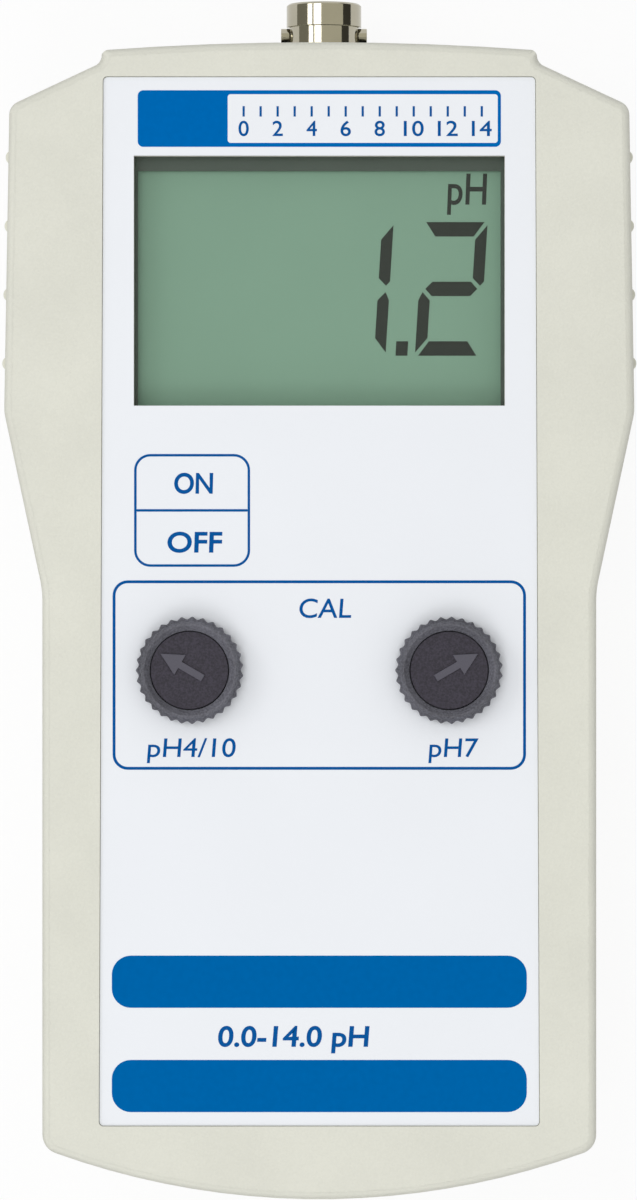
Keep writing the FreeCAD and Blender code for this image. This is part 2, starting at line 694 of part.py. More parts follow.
def front_shell():
    body = new_body("front_shell")
    outline = case_block(body, False, "case_thick - parting_z", "case_thick", "front_bevel")
    cavity = inset(body, outline, "side_wall", "front_cavity")
    pocket(body, cavity, "case_thick - parting_z - panel_wall", up=True)
    rebate = inset(body, outline, "lip_inset - lip_gap", "front_rebate")
    pocket(body, rebate, "lip_height + lip_gap", up=True)
    tubes = [(*spot, "boss_radius") for spot in BOSSES]
    bosses = circle_sketch(body, "front_bosses", tubes, "boss_meet_z + boss_gap")
    pad(body, bosses, "panel_inside_z - boss_meet_z - boss_gap + panel_wall / 2")
    posts = circle_sketch(body, "front_posts", [(*spot, "post_radius") for spot in POSTS], "board_face_z")
    pad(body, posts, "panel_inside_z - board_face_z + panel_wall / 2")
    pilots = [(*spot, "case_screw_radius + screw_gap") for spot in BOSSES]
    pocket(
        body,
        circle_sketch(body, "front_boss_pilots", pilots, "boss_meet_z + boss_gap"),
        "head_seat_z + case_screw_long - boss_meet_z + boss_gap",
        up=True,
    )
    pilots = [(*spot, "board_screw_radius + screw_gap") for spot in POSTS]
    pocket(
        body,
        circle_sketch(body, "front_post_pilots", pilots, "board_face_z"),
        "board_screw_long - board_thick + screw_gap * 4",
        up=True,
    )
    recess = film_corners("film_gap")
    pocket(body, loop_sketch(body, "film_recess", recess, "case_thick"), "film_sunk + film_thick")
    fillet(body, rising_from("film_z", recess), "film_round + film_gap")
    pocket(body, loop_sketch(body, "lens_rebate", lens_corners("lens_gap"), "film_z"), "lens_thick")
    pocket(body, loop_sketch(body, "display_opening", window_corners(), "lens_z"), "panel_wall")
    pocket(body, loop_sketch(body, "key_opening", key_corners("actuator_gap"), "film_z"), "panel_wall")
    stems = [(*spot, "stem_radius + stem_hole_gap") for spot in TRIMMERS]
    pocket(body, circle_sketch(body, "stem_holes", stems, "film_z"), "panel_wall")
    socket_notch(body)
    return body


def film_corners(gap="0"):
    return (
        (f"-film_low_half - ({gap})", f"film_low_y - ({gap})"),
        (f"film_low_half + ({gap})", f"film_low_y - ({gap})"),
        (f"film_top_half + ({gap})", f"film_top_y + ({gap})"),
        (f"-film_top_half - ({gap})", f"film_top_y + ({gap})"),
    )


def window_corners():
    return box_corners("-window_half", "window_half", "window_low_y", "window_top_y")


def lens_corners(gap="0"):
    return box_corners(
        f"-window_half - lens_border - ({gap})",
        f"window_half + lens_border + ({gap})",
        f"window_low_y - lens_border - ({gap})",
        f"window_top_y + lens_border + ({gap})",
    )


def rear_shell():
    body = new_body("rear_shell")
    outline = case_block(body, True, "parting_z", "0", "back_bevel")
    pad(body, inset(body, outline, "lip_inset", "rear_lip"), "lip_height")
    inside = inset(body, outline, "side_wall", "rear_cavity")
    pocket(body, inside, "lip_height", up=True)
    pocket(body, inside, "parting_z - back_wall")
    # the ledge that the door lies against, and the battery bay above it
    ledge_top = "ledge_z + ledge_thick"
    ledge_foot = f"({foot_y('ledge_half')} + side_wall / 2)"
    ledge = (
        ("-ledge_half", ledge_foot, f"{foot_y('ledge_half')} + half_length"),
        ("ledge_half", ledge_foot),
        ("ledge_half", "door_top_y + ledge_past"),
        ("-ledge_half", "door_top_y + ledge_past"),
    )
    pad(body, loop_sketch(body, "door_ledge", ledge, "back_wall / 2"), f"{ledge_top} - back_wall / 2")
    bay = box_corners("-bay_outer", "bay_outer", "bay_low_y - bay_end_wall", "bay_top_y + bay_end_wall")
    pad(body, loop_sketch(body, "bay_walls", bay, "back_wall"), "bay_roof_z + bay_wall - back_wall")
    inner = box_corners("-bay_half", "bay_half", "bay_low_y", "bay_top_y")
    pocket(body, loop_sketch(body, "bay", inner, "0"), "bay_roof_z", up=True)
    recess_half = "(door_half + door_gap)"
    recess = box_corners(f"-{recess_half}", recess_half, "-half_length - 1", "door_top_y + door_gap")
    pocket(body, loop_sketch(body, "door_recess", recess, "0"), "ledge_z", up=True)
    rail_half = "(door_half + rail_out + door_gap)"
    grooves = box_corners(f"-{rail_half}", rail_half, "-half_length - 1", "door_top_y + door_gap")
    groove_high = "rail_thick + 2 * door_gap"
    pocket(body, loop_sketch(body, "door_grooves", grooves, "rail_z - door_gap"), groove_high, up=True)
    slot_half = "(tab_half + door_gap)"
    slot = box_corners(f"-{slot_half}", slot_half, "door_top_y", "door_top_y + tab_long + door_gap")
    pocket(body, loop_sketch(body, "door_slot", slot, "rail_z - door_gap"), groove_high, up=True)
    # the way out for the battery leads, through the bay's upper wall
    leads = box_corners(
        "-lead_x - lead_radius - lead_slot_gap",
        "lead_x + lead_radius + lead_slot_gap",
        "lead_z - lead_radius - lead_slot_gap",
        "lead_z + lead_radius + lead_slot_gap",
    )
    sketch = loop_sketch(body, "lead_slot", leads, "-(bay_top_y + 2 * bay_end_wall)", "XZ_Plane")
    pocket(body, sketch, "2 * bay_end_wall + snap_seat", up=True)
    # screw bosses, each with a counterbore for its screw's head
    tubes = [(*spot, "case_head_radius + head_gap + boss_rim") for spot in BOSSES]
    pad(body, circle_sketch(body, "rear_bosses", tubes, "back_wall / 2"), "boss_meet_z - back_wall / 2")
    wells = [(*spot, "case_head_radius + head_gap") for spot in BOSSES]
    pocket(body, circle_sketch(body, "head_wells", wells, "0"), "head_seat_z", up=True)
    holes = [(*spot, "case_screw_radius + 4 * screw_gap") for spot in BOSSES]
    sketch = circle_sketch(body, "screw_holes", holes, "head_seat_z")
    pocket(body, sketch, "boss_meet_z - head_seat_z", up=True)
    socket_notch(body)
    return body


def screw(label, x, y, seat_z, thread_radius, thread_long, head_radius, head_high):
    """A pan-head screw standing on its head."""
    body = new_body(label)
    head = circle_sketch(body, f"{label}_head", ((x, y, head_radius),), f"{seat_z} - {head_high}")
    pad(body, head, head_high)
    pad(body, circle_sketch(body, f"{label}_thread", ((x, y, thread_radius),), seat_z), thread_long)
    return body


def case_screws():
    for number, (x, y) in enumerate(BOSSES, start=1):
        screw(
            f"case_screw_{number}", x, y, "head_seat_z",
            "case_screw_radius", "case_screw_long", "case_head_radius", "case_head_high",
        )


def board_screws():
    for number, (x, y) in enumerate(POSTS, start=1):
        screw(
            f"board_screw_{number}", x, y, "board_z",
            "board_screw_radius", "board_screw_long", "board_head_radius", "board_head_high",
        )


# ---- front film and display ---------------------------------------------------------------------------


def key_corners(gap="0"):
    """The key's rounded outline, widened all round by a gap."""
    half_wide, half_high = f"(key_wide / 2 + {gap})", f"(key_high / 2 + {gap})"
    return rounded_box(
        f"key_x - {half_wide}", f"key_x + {half_wide}", f"key_y - {half_high}", f"key_y + {half_high}",
        f"key_round + {gap}",
    )


def slab(label, corners, height, thickness):
    """A flat piece with the given outline."""
    body = new_body(label)
    pad(body, loop_sketch(body, f"{label}_outline", corners, height), thickness)
    return body


def front_film():
    body = slab("front_film", film_corners(), "film_z", "film_thick")
    fillet(body, rising_from("film_z", film_corners()), "film_round")
    pocket(body, loop_sketch(body, "film_window", window_corners(), "film_face_z"), "film_thick")
    pocket(body, loop_sketch(body, "film_key_hole", key_corners("key_gap"), "film_face_z"), "film_thick")
    stems = [(*spot, "stem_radius + stem_hole_gap") for spot in TRIMMERS]
    pocket(body, circle_sketch(body, "film_stem_holes", stems, "film_face_z"), "film_thick")
    return body


def display():
    """A moulded frame that holds two sheets of glass between polarisers over a contact strip."""
    body = slab(
        "display_frame",
        box_corners("-frame_half", "frame_half", "frame_low_y", "frame_top_y"),
        "board_face_z",
        "frame_face_z - board_face_z",
    )
    inner_half = "(frame_half - frame_wall)"
    inner_low, inner_top = "frame_low_y + frame_wall", "frame_top_y - frame_wall"
    inner = box_corners(f"-{inner_half}", inner_half, inner_low, inner_top)
    inner_high = "frame_face_z - board_face_z - frame_lip"
    pocket(body, loop_sketch(body, "frame_inside", inner, "board_face_z"), inner_high, up=True)
    view_half = "(window_half - display_reveal)"
    view = box_corners(
        f"-{view_half}", view_half, "window_low_y - display_reveal", "window_top_y - display_band"
    )
    pocket(body, loop_sketch(body, "frame_view", view, "frame_face_z"), "frame_lip")

    whole = box_corners("-glass_half", "glass_half", "glass_low_y", "glass_top_y")
    short = box_corners("-glass_half", "glass_half", "glass_low_y + contact_ledge", "glass_top_y")
    slab("front_polariser", whole, "glass_z + glass_thick", "polariser_thick")
    slab("front_glass", whole, "glass_z", "glass_thick")
    slab("rear_glass", short, "glass_z - glass_thick", "glass_thick")
    slab("rear_polariser", short, "glass_z - glass_thick - polariser_thick", "polariser_thick")
    strip_low = "(glass_low_y + (contact_ledge - zebra_wide) / 2)"
    strip = box_corners("-glass_half", "glass_half", strip_low, f"{strip_low} + zebra_wide")
    slab("contact_strip", strip, "board_face_z", "glass_z - board_face_z")
    slab("display_lens", lens_corners(), "lens_z", "lens_thick")


# ---- circuit board ------------------------------------------------------------------------------------


def main_board():
    body = slab("main_board", box_corners("-board_half", "board_half", "board_low_y", "board_top_y"),
                "board_z", "board_thick")
    holes = [(*spot, "board_screw_radius + board_hole_gap") for spot in POSTS]
    pocket(body, circle_sketch(body, "screw_clearances", holes, "board_face_z"), "board_thick")
    slots = [(*spot, "(pin_side + 2 * board_hole_gap)") for spot in TRIMMER_PINS]
    slots += [(*spot, "(socket_post_side + 2 * board_hole_gap)") for spot in SOCKET_POSTS]
    slots += [(*SIGNAL_PIN, "(signal_pin_side + 2 * board_hole_gap)")]
    boxes = [centred_box(x, y, side, side) for x, y, side in slots]
    pocket(body, boxes_sketch(body, "pin_holes", boxes, "board_face_z"), "board_thick")
    return body


def board_parts():
    """What is soldered to the back of the board."""
    driver = centred_box("driver_x", "driver_y", "driver_side", "driver_side")
    slab("display_driver", driver, "board_z - driver_high", "driver_high")
    for number in (1, 2):
        chip = centred_box("amp_x", f"(amp_y - {number - 1} * amp_pitch)", "amp_wide", "amp_long")
        slab(f"amplifier_{number}", chip, "board_z - amp_high", "amp_high")
    for number in (1, 2, 3):
        body = new_body(f"capacitor_{number}")
        spot = ("can_x", f"(can_y - {number - 1} * can_pitch)", "can_radius")
        pad(body, circle_sketch(body, f"capacitor_{number}_can", (spot,), "board_z - can_high"), "can_high")
    for number in (1, 2, 3, 4):
        body = new_body(f"resistor_{number}")
        y = f"(resistor_y - {number - 1} * resistor_pitch)"
        spot = (y, "board_z - resistor_radius", "resistor_radius")
        start = "resistor_x - resistor_long / 2"
        sketch = circle_sketch(body, f"resistor_{number}_section", (spot,), start, "YZ_Plane")
        pad(body, sketch, "resistor_long")


# ---- power key ----------------------------------------------------------------------------------------

def power_key():
    """The key's face, the actuator that it is bonded to, and the switch that the actuator works."""
    face = key_corners()
    slab("key_face", face, "film_z", "film_thick")

    flange = key_corners("(actuator_gap + actuator_flange)")
    body = slab("key_actuator", flange, "flange_low_z", "actuator_flange_thick")
    block = loop_sketch(body, "actuator_block", face, "flange_low_z + actuator_flange_thick")
    pad(body, block, "film_z - flange_low_z - actuator_flange_thick")
    stem = circle_sketch(body, "actuator_foot", (("key_x", "key_y", "actuator_stem"),), "flange_low_z")
    pad(body, stem, "flange_low_z - switch_top_z - plunger_proud", down=True)

    body = new_body("switch_plunger")
    foot = "switch_top_z - plunger_hold"
    pad(
        body,
        circle_sketch(body, "plunger", (("key_x", "key_y", "plunger_radius"),), foot),
        "plunger_hold + plunger_proud",
    )

    body = slab("switch_housing", centred_box("key_x", "key_y", "switch_wide", "switch_wide"),
                "board_face_z", "switch_high")
    hole = ("key_x", "key_y", "plunger_radius + plunger_gap")
    well = circle_sketch(body, "plunger_hole", (hole,), "switch_top_z")
    pocket(body, well, "plunger_hold + key_travel + key_seat_gap")


# ---- calibration knobs --------------------------------------------------------------------------------


def move(body, x="0", y="0", z="0", turn=None):
    """Places a sub-part that is modelled about its own axis."""
    bind(body, Placement__Base__x=x, Placement__Base__y=y, Placement__Base__z=z)
    if turn:
        body.Placement.Rotation = Rotation(Vector(0, 0, 1), 1)
        bind(body, Placement__Rotation__Angle=turn)
    doc.recompute()


def knob(label, x, y):
    """A turned knob with a bowl for its cap, a grooved grip, and a stem that ends in a spindle."""
    body = new_body(label)
    profile = (
        ("0", "board_face_z + spindle_low_gap - knob_z"),
        ("spindle_radius", "board_face_z + spindle_low_gap - knob_z"),
        ("spindle_radius", "trimmer_top_z - knob_z"),
        ("stem_radius", "trimmer_top_z - knob_z"),
        ("stem_radius", "0"),
        ("knob_base_radius", "0"),
        ("knob_base_radius", "knob_high - knob_shoulder"),
        ("knob_rim_radius", "knob_high"),
        ("knob_bowl_radius + knob_bowl_flare", "knob_high"),
        ("knob_bowl_radius", "knob_floor"),
        ("0", "knob_floor"),
    )
    revolve(body, loop_sketch(body, f"{label}_profile", profile, plane="XZ_Plane"))
    groove = (
        ("0", "knob_base_radius - knurl_deep"),
        ("knurl_half", "knob_base_radius + knurl_over"),
        ("-knurl_half", "knob_base_radius + knurl_over"),
    )
    sketch = loop_sketch(body, f"{label}_groove", groove, "knob_high")
    cut = pocket(body, sketch, "knob_high")
    ring = body.newObject("PartDesign::PolarPattern", f"{label}_grooves")
    ring.Originals = [cut]
    ring.Axis = (sketch, ["N_Axis"])
    ring.Angle = 360.0
    bind(ring, Occurrences="knurl_count")
    body.Tip = ring
    move(body, x, y, "knob_z")
    return body


def knob_cap(label, x, y, turn):
    """The disc in the knob's bowl, with a raised arrow."""
    body = new_body(label)
    disc = circle_sketch(body, f"{label}_disc", (("0", "0", "knob_bowl_radius - cap_gap"),))
    pad(body, disc, "cap_thick")
    neck = "arrow_tip - arrow_head_long"
    arrow = (
        ("-arrow_shaft_half", "-arrow_tail"),
        ("arrow_shaft_half", "-arrow_tail"),
        ("arrow_shaft_half", neck),
        ("arrow_head_half", neck),
        ("0", "arrow_tip"),
        ("-arrow_head_half", neck),
        ("-arrow_shaft_half", neck),
    )
    pad(body, loop_sketch(body, f"{label}_arrow", arrow, "cap_thick"), "arrow_proud")
    move(body, x, y, "knob_z + knob_floor", turn)
    return body


def trimmer(side, x, y):
    """A board-mounted trimmer: a housing with three pins, and the rotor that the knob's spindle turns."""
    outline = centred_box("0", "0", "trimmer_wide", "trimmer_wide")
    body = slab(f"{side}_trimmer_housing", outline, "0", "trimmer_high")
    corners = mirrored_pair("trimmer_wide / 2", "trimmer_wide / 2")
    corners += mirrored_pair("trimmer_wide / 2", "-trimmer_wide / 2")
    bevel(body, rising_from("0", corners), "trimmer_chamfer")
    hole = ("0", "0", "rotor_radius + rotor_gap")
    bowl = circle_sketch(body, f"{side}_rotor_bowl", (hole,), "trimmer_high")
    pocket(body, bowl, "rotor_thick + rotor_gap")
    well = circle_sketch(body, f"{side}_spindle_well", (("0", "0", "trimmer_well"),), "trimmer_high")
    pocket(body, well, "trimmer_high - spindle_floor")
    places = [f"({place}) * pin_pitch" for place in (-1, 0, 1)]
    pins = [centred_box(x, "-pin_offset", "pin_side", "pin_side") for x in places]
    pad(body, boxes_sketch(body, f"{side}_pins", pins), "board_thick + pin_proud", down=True)
    move(body, x, y, "board_face_z")

    body = new_body(f"{side}_rotor")
    pad(body, circle_sketch(body, f"{side}_rotor_disc", (("0", "0", "rotor_radius"),)), "rotor_thick")
    hole = ("0", "0", "spindle_radius + spindle_gap")
    hub = circle_sketch(body, f"{side}_rotor_hub", (hole,), "rotor_thick")
    pocket(body, hub, "rotor_thick")
    move(body, x, y, "trimmer_top_z - rotor_thick")


def calibration():
    """The left knob sets pH 4 or 10, and the right one pH 7."""
    for name, x, turn in (("ph4", "-knob_x", "arrow_lean"), ("ph7", "knob_x", "-arrow_lean")):
        knob(f"{name}_knob", x, "knob_y")
        knob_cap(f"{name}_knob_cap", x, "knob_y", turn)
        trimmer(name, x, "knob_y")


# ---- probe socket -------------------------------------------------------------------------------------


def socket():
    """A BNC socket: a plated barrel with two lugs, its insulator and contact, and the housing behind it."""
    barrel = new_body("socket_barrel")
    hole = "(insulator_radius + socket_fit)"
    neck = "(barrel_radius - neck_step)"
    profile = (
        (hole, "housing_front_y"),
        (neck, "housing_front_y"),
        (neck, "barrel_step_y"),
        ("barrel_radius", "barrel_step_y"),
        ("barrel_radius", "barrel_mouth_y - barrel_chamfer"),
        ("barrel_radius - barrel_chamfer", "barrel_mouth_y"),
        ("barrel_bore", "barrel_mouth_y"),
        ("barrel_bore", "barrel_floor_y"),
        (hole, "barrel_floor_y"),
    )
    revolve(barrel, loop_sketch(barrel, "barrel_profile", profile))
    root = "((barrel_bore + barrel_radius) / 2)"
    for name, start in (("right_lug", root), ("left_lug", "-lug_span")):
        lug = circle_sketch(barrel, name, (("lug_y", "0", "lug_radius"),), start, "YZ_Plane")
        pad(barrel, lug, f"lug_span - {root}")

    insulator = new_body("socket_insulator")
    contact_hole = "(contact_radius + socket_fit)"
    sleeve = box_corners(contact_hole, "insulator_radius", "insulator_end_y", "insulator_face_y")
    revolve(insulator, loop_sketch(insulator, "insulator_profile", sleeve))

    contact = new_body("socket_contact")
    profile = (
        ("0", "contact_end_y"),
        ("contact_radius", "contact_end_y"),
        ("contact_radius", "contact_face_y"),
        ("contact_bore", "contact_face_y"),
        ("contact_bore", "contact_face_y - contact_deep"),
        ("0", "contact_face_y - contact_deep"),
    )
    revolve(contact, loop_sketch(contact, "contact_profile", profile))
    for body in (barrel, insulator, contact):
        move(body, "socket_x", "0", "parting_z")

    housing = slab(
        "socket_housing",
        box_corners("socket_x - housing_half", "socket_x + housing_half",
                    "housing_front_y - housing_long", "housing_front_y"),
        "parting_z - housing_half",
        "board_z - parting_z + housing_half",
    )
    boxes = [centred_box(*spot, "socket_post_side", "socket_post_side") for spot in SOCKET_POSTS]
    pad(housing, boxes_sketch(housing, "socket_posts", boxes, "board_z"), "board_thick + pin_proud")
    bores = (
        ("insulator_bore", hole, "housing_front_y - insulator_end_y"),
        ("contact_bore_hole", contact_hole, "housing_front_y - contact_end_y + socket_tail_gap"),
    )
    for name, radius, depth in bores:
        hole = ("socket_x", "parting_z", radius)
        bore = circle_sketch(housing, name, (hole,), "-housing_front_y", "XZ_Plane")
        pocket(housing, bore, depth, up=True)
    side = "(signal_pin_side + 2 * socket_fit)"
    pin_hole = loop_sketch(housing, "signal_pin_hole", centred_box(*SIGNAL_PIN, side, side), "board_z")
    pocket(housing, pin_hole, "board_z - parting_z")
    slab(
        "socket_pin",
        centred_box(*SIGNAL_PIN, "signal_pin_side", "signal_pin_side"),
        "parting_z + contact_radius",
        "board_face_z + pin_proud - parting_z - contact_radius",
    )


# ---- battery ------------------------------------------------------------------------------------------


def bar_section(half_wide, half_high, corner_radius):
    """A rounded rectangle about the battery's middle, seen from its end."""
    return rounded_box(
        f"-({half_wide})", f"({half_wide})",
        f"cell_middle_z - ({half_high})", f"cell_middle_z + ({half_high})", corner_radius,
    )


def bar(label, half_wide, half_high, corner_radius, start_y, length):
    """A rounded bar that runs along Y about the battery's middle."""
    body = new_body(label)
    section = bar_section(half_wide, half_high, corner_radius)
    sketch = loop_sketch(body, f"{label}_section", section, f"-({start_y})", "XZ_Plane")
    pad(body, sketch, length, down=True)
    return body


def battery():
    half_wide, half_high = "cell_width / 2", "cell_thick / 2"
    jacket = bar("battery_jacket", half_wide, half_high, "jacket_round", "cell_low_y", "cell_body_long")
    inside = [f"{size} - jacket_wall" for size in (half_wide, half_high, "jacket_round")]
    sketch = loop_sketch(jacket, "jacket_inside", bar_section(*inside), "-cell_low_y", "XZ_Plane")
    pocket(jacket, sketch, "cell_body_long")
    fit = [f"({size} - cell_gap)" for size in inside]
    bar("battery_base_plate", *fit, "cell_low_y", "plate_thick")
    bar("battery_cells", *fit, "cell_low_y + plate_thick", "cell_body_long - 2 * plate_thick")
    bar("battery_top_plate", *fit, "cell_body_top_y - plate_thick", "plate_thick")

    stud = new_body("battery_stud")
    spot = ("-terminal_pitch / 2", "cell_middle_z")
    section = circle_sketch(stud, "stud_section", ((*spot, "stud_radius"),), "-cell_body_top_y", "XZ_Plane")
    pad(stud, section, "terminal_high", down=True)
    cup = new_body("battery_cup")
    spot = ("terminal_pitch / 2", "cell_middle_z")
    rings = ((*spot, "cup_radius"), (*spot, "cup_bore"))
    section = circle_sketch(cup, "cup_section", rings, "-cell_body_top_y", "XZ_Plane")
    pad(cup, section, "terminal_high", down=True)


def battery_snap():
    body = new_body("battery_snap")
    section = centred_box("0", "cell_middle_z", "2 * snap_half", "snap_depth")
    sketch = loop_sketch(body, "snap_section", section, "-snap_low_y", "XZ_Plane")
    pad(body, sketch, "snap_thick", down=True)
    wells = (
        ("-terminal_pitch / 2", "cell_middle_z", "stud_radius + snap_gap"),
        ("terminal_pitch / 2", "cell_middle_z", "cup_radius + snap_gap"),
    )
    pocket(
        body, circle_sketch(body, "snap_wells", wells, "-snap_low_y", "XZ_Plane"),
        "terminal_high - snap_seat + snap_gap",
    )


def battery_lead(label, x):
    """A lead from the snap to the underside of the board: two straight runs and the arc between them."""
    start = Vector(value(x), value("snap_top_y"), value("lead_z"))
    climb = value("board_z - lead_z")
    turn = start + Vector(0, climb, 0)
    radius = 0.45 * climb
    bend_in, bend_out = turn - Vector(0, radius, 0), turn + Vector(0, 0, radius)
    centre = turn + Vector(0, -radius, radius)
    middle = centre + Vector(0, 1, -1).normalize() * radius
    path = Part.Wire([
        Part.LineSegment(start, bend_in).toShape(),
        Part.Arc(bend_in, middle, bend_out).toShape(),
        Part.LineSegment(bend_out, turn + Vector(0, 0, climb)).toShape(),
    ])
    section = Part.Wire([Part.Circle(start, Vector(0, 1, 0), value("lead_radius")).toShape()])
    lead = doc.addObject("Part::Feature", label)
    lead.Label = label
    lead.Shape = path.makePipeShell([section], True, True)
    lead.Placement = Placement()
    expected = math.pi * value("lead_radius") ** 2 * path.Length
    print(label, "bend radius", round(radius, 2), "volume against section", lead.Shape.Volume / expected)
    return lead


# ---- battery door -------------------------------------------------------------------------------------


def battery_door():
    """A plate that ends at the foot of the case, with a rail along each side, a tab and a thumb grip."""
    body = new_body("battery_door")
    foot = foot_y("door_half")
    plate = (
        ("-door_half", foot, f"{foot} + half_length"),
        ("door_half", foot),
        ("door_half", "door_top_y"),
        ("-door_half", "door_top_y"),
    )
    pad(body, loop_sketch(body, "door_plate", plate, "door_sunk"), "door_thick")
    low, foot_line = level("door_sunk"), value(foot) + 1e-3
    bevel(body, lambda edge: low(edge) and edge.BoundBox.YMax < foot_line, "back_bevel - door_sunk")
    rail_end = f"({foot_y('door_half + rail_out')} + back_bevel)"
    rail_half = "(door_half + rail_out)"
    for side in ("right", "left"):
        ends = ("door_half / 2", rail_half) if side == "right" else (f"-{rail_half}", "-door_half / 2")
        rail = loop_sketch(body, f"{side}_rail", box_corners(*ends, rail_end, "door_top_y"), "rail_z")
        pad(body, rail, "rail_thick")
    tab = box_corners("-tab_half", "tab_half", "door_top_y - tab_long", "door_top_y + tab_long")
    pad(body, loop_sketch(body, "door_tab", tab, "rail_z"), "rail_thick")
    for index in range(int(value("grip_groove_count"))):
        y = f"(grip_groove_y - {index} * grip_groove_pitch)"
        groove = centred_box("0", y, "2 * grip_groove_half", "grip_groove_wide")
        sketch = loop_sketch(body, f"grip_groove_{index + 1}", groove, "door_sunk")
        pocket(body, sketch, "grip_groove_deep", up=True)
    return body


# ---- the whole meter ----------------------------------------------------------------------------------


def sub_parts():
    """Everything with a shape of its own: bodies, and the leads."""
    return [item for item in doc.Objects if item.TypeId in ("PartDesign::Body", "Part::Feature")]


def check():
    """Stops if any object failed or any sub-part is empty, unsound or in several pieces."""
    failed = [item.Label for item in doc.Objects if "Invalid" in item.State or "Error" in item.State]
    for item in sub_parts():
        if item.Shape.isNull() or not item.Shape.isValid() or len(item.Shape.Solids) != 1:
            failed.append(item.Label)
    if failed:
        raise RuntimeError("these failed: " + ", ".join(failed))


def main():
    front_shell()
    rear_shell()
    case_screws()
    front_film()
    display()
    main_board()
    board_parts()
    board_screws()
    power_key()
    calibration()
    socket()
    battery()
    battery_snap()
    battery_lead("positive_lead", "-lead_x")
    battery_lead("negative_lead", "lead_x")
    battery_door()
    doc.recompute()
    check()
    os.makedirs("parts", exist_ok=True)
    for item in sub_parts():
        item.Shape.exportStep(f"parts/{item.Label}.step")
    print(len(sub_parts()), "sub-parts")


main()
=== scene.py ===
"""The looks of a handheld digital pH meter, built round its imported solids.

Metres. +X is right and +Y is up as the front is read, and +Z points out of the front. The meter lies on its
back, so the camera looks straight down on the front.
"""
import json
import math

import bmesh
import bpy
from bpy.props import FloatProperty, FloatVectorProperty, IntProperty, PointerProperty, StringProperty
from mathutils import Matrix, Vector

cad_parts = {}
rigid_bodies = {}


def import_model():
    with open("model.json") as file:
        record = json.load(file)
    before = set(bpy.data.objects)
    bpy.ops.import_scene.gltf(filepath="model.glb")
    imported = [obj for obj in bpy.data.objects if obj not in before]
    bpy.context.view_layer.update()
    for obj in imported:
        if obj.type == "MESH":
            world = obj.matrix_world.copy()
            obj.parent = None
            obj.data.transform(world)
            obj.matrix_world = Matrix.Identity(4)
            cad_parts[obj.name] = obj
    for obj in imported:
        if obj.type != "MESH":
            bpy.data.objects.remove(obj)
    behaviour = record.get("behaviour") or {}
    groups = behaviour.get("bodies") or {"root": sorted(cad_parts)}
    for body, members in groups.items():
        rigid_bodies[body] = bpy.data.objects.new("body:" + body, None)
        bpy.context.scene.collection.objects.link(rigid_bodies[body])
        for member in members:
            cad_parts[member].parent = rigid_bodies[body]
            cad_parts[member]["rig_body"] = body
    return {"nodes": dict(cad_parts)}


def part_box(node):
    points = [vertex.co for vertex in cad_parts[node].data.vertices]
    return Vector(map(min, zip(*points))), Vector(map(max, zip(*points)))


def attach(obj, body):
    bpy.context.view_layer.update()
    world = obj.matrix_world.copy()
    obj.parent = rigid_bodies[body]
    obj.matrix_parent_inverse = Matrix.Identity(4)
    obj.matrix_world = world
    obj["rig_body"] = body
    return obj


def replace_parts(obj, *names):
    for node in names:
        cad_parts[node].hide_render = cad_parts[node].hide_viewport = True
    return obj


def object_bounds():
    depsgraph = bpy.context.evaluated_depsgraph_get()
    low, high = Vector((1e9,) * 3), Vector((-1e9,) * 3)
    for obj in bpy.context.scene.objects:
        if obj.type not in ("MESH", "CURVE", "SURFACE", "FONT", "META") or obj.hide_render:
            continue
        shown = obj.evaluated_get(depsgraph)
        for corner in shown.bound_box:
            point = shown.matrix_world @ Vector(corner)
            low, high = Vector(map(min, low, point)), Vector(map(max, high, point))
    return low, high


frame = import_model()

bl_info = {
    "name": "pH Meter Finish",
    "version": (1, 0, 0),
    "blender": (4, 5, 0),
    "location": "3D View > Sidebar > pH Meter",
    "description": "Gives the solids of a handheld pH meter their edges, prints, display and finishes",
    "category": "Object",
}

CAD_BOX = [list(corner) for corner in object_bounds()]
MM = 0.001


def srgb(red, green, blue):
    """A colour given as 0 to 255 on screen, as the linear numbers that shaders take."""

    def linear(share):
        return share / 12.92 if share <= 0.04045 else ((share + 0.055) / 1.055) ** 2.4

    return tuple(linear(channel / 255) for channel in (red, green, blue))


def colour_setting(name, description, red, green, blue):
    return FloatVectorProperty(
        name=name, description=description, default=srgb(red, green, blue), size=3, min=0, max=1,
        subtype="COLOR",
    )


def length_setting(name, description, millimetres):
    return FloatProperty(
        name=name, description=description, default=millimetres * MM, min=0, unit="LENGTH",
        subtype="DISTANCE", precision=5,
    )


def power_setting(name, description, watts):
    return FloatProperty(name=name, description=description, default=watts, unit="POWER")


def text_setting(name, description, text):
    return StringProperty(name=name, description=description, default=text)


# ---- settings -----------------------------------------------------------------------------------------


class CaseSettings(bpy.types.PropertyGroup):
    plastic: colour_setting("Plastic", "Colour of the moulded case", 221, 221, 209)
    edge: length_setting("Edge", "Rounding of most of the case's edges", 0.25)
    parting: length_setting("Parting", "Depth of the fine groove where the two halves meet", 0.2)
    crown: length_setting("Crown", "Rounding of the corners of the raised top end", 0.6)
    grain: length_setting("Grain", "Size of the fine texture of the mould", 0.28)
    grain_depth: length_setting("Grain depth", "Depth of the fine texture", 0.02)


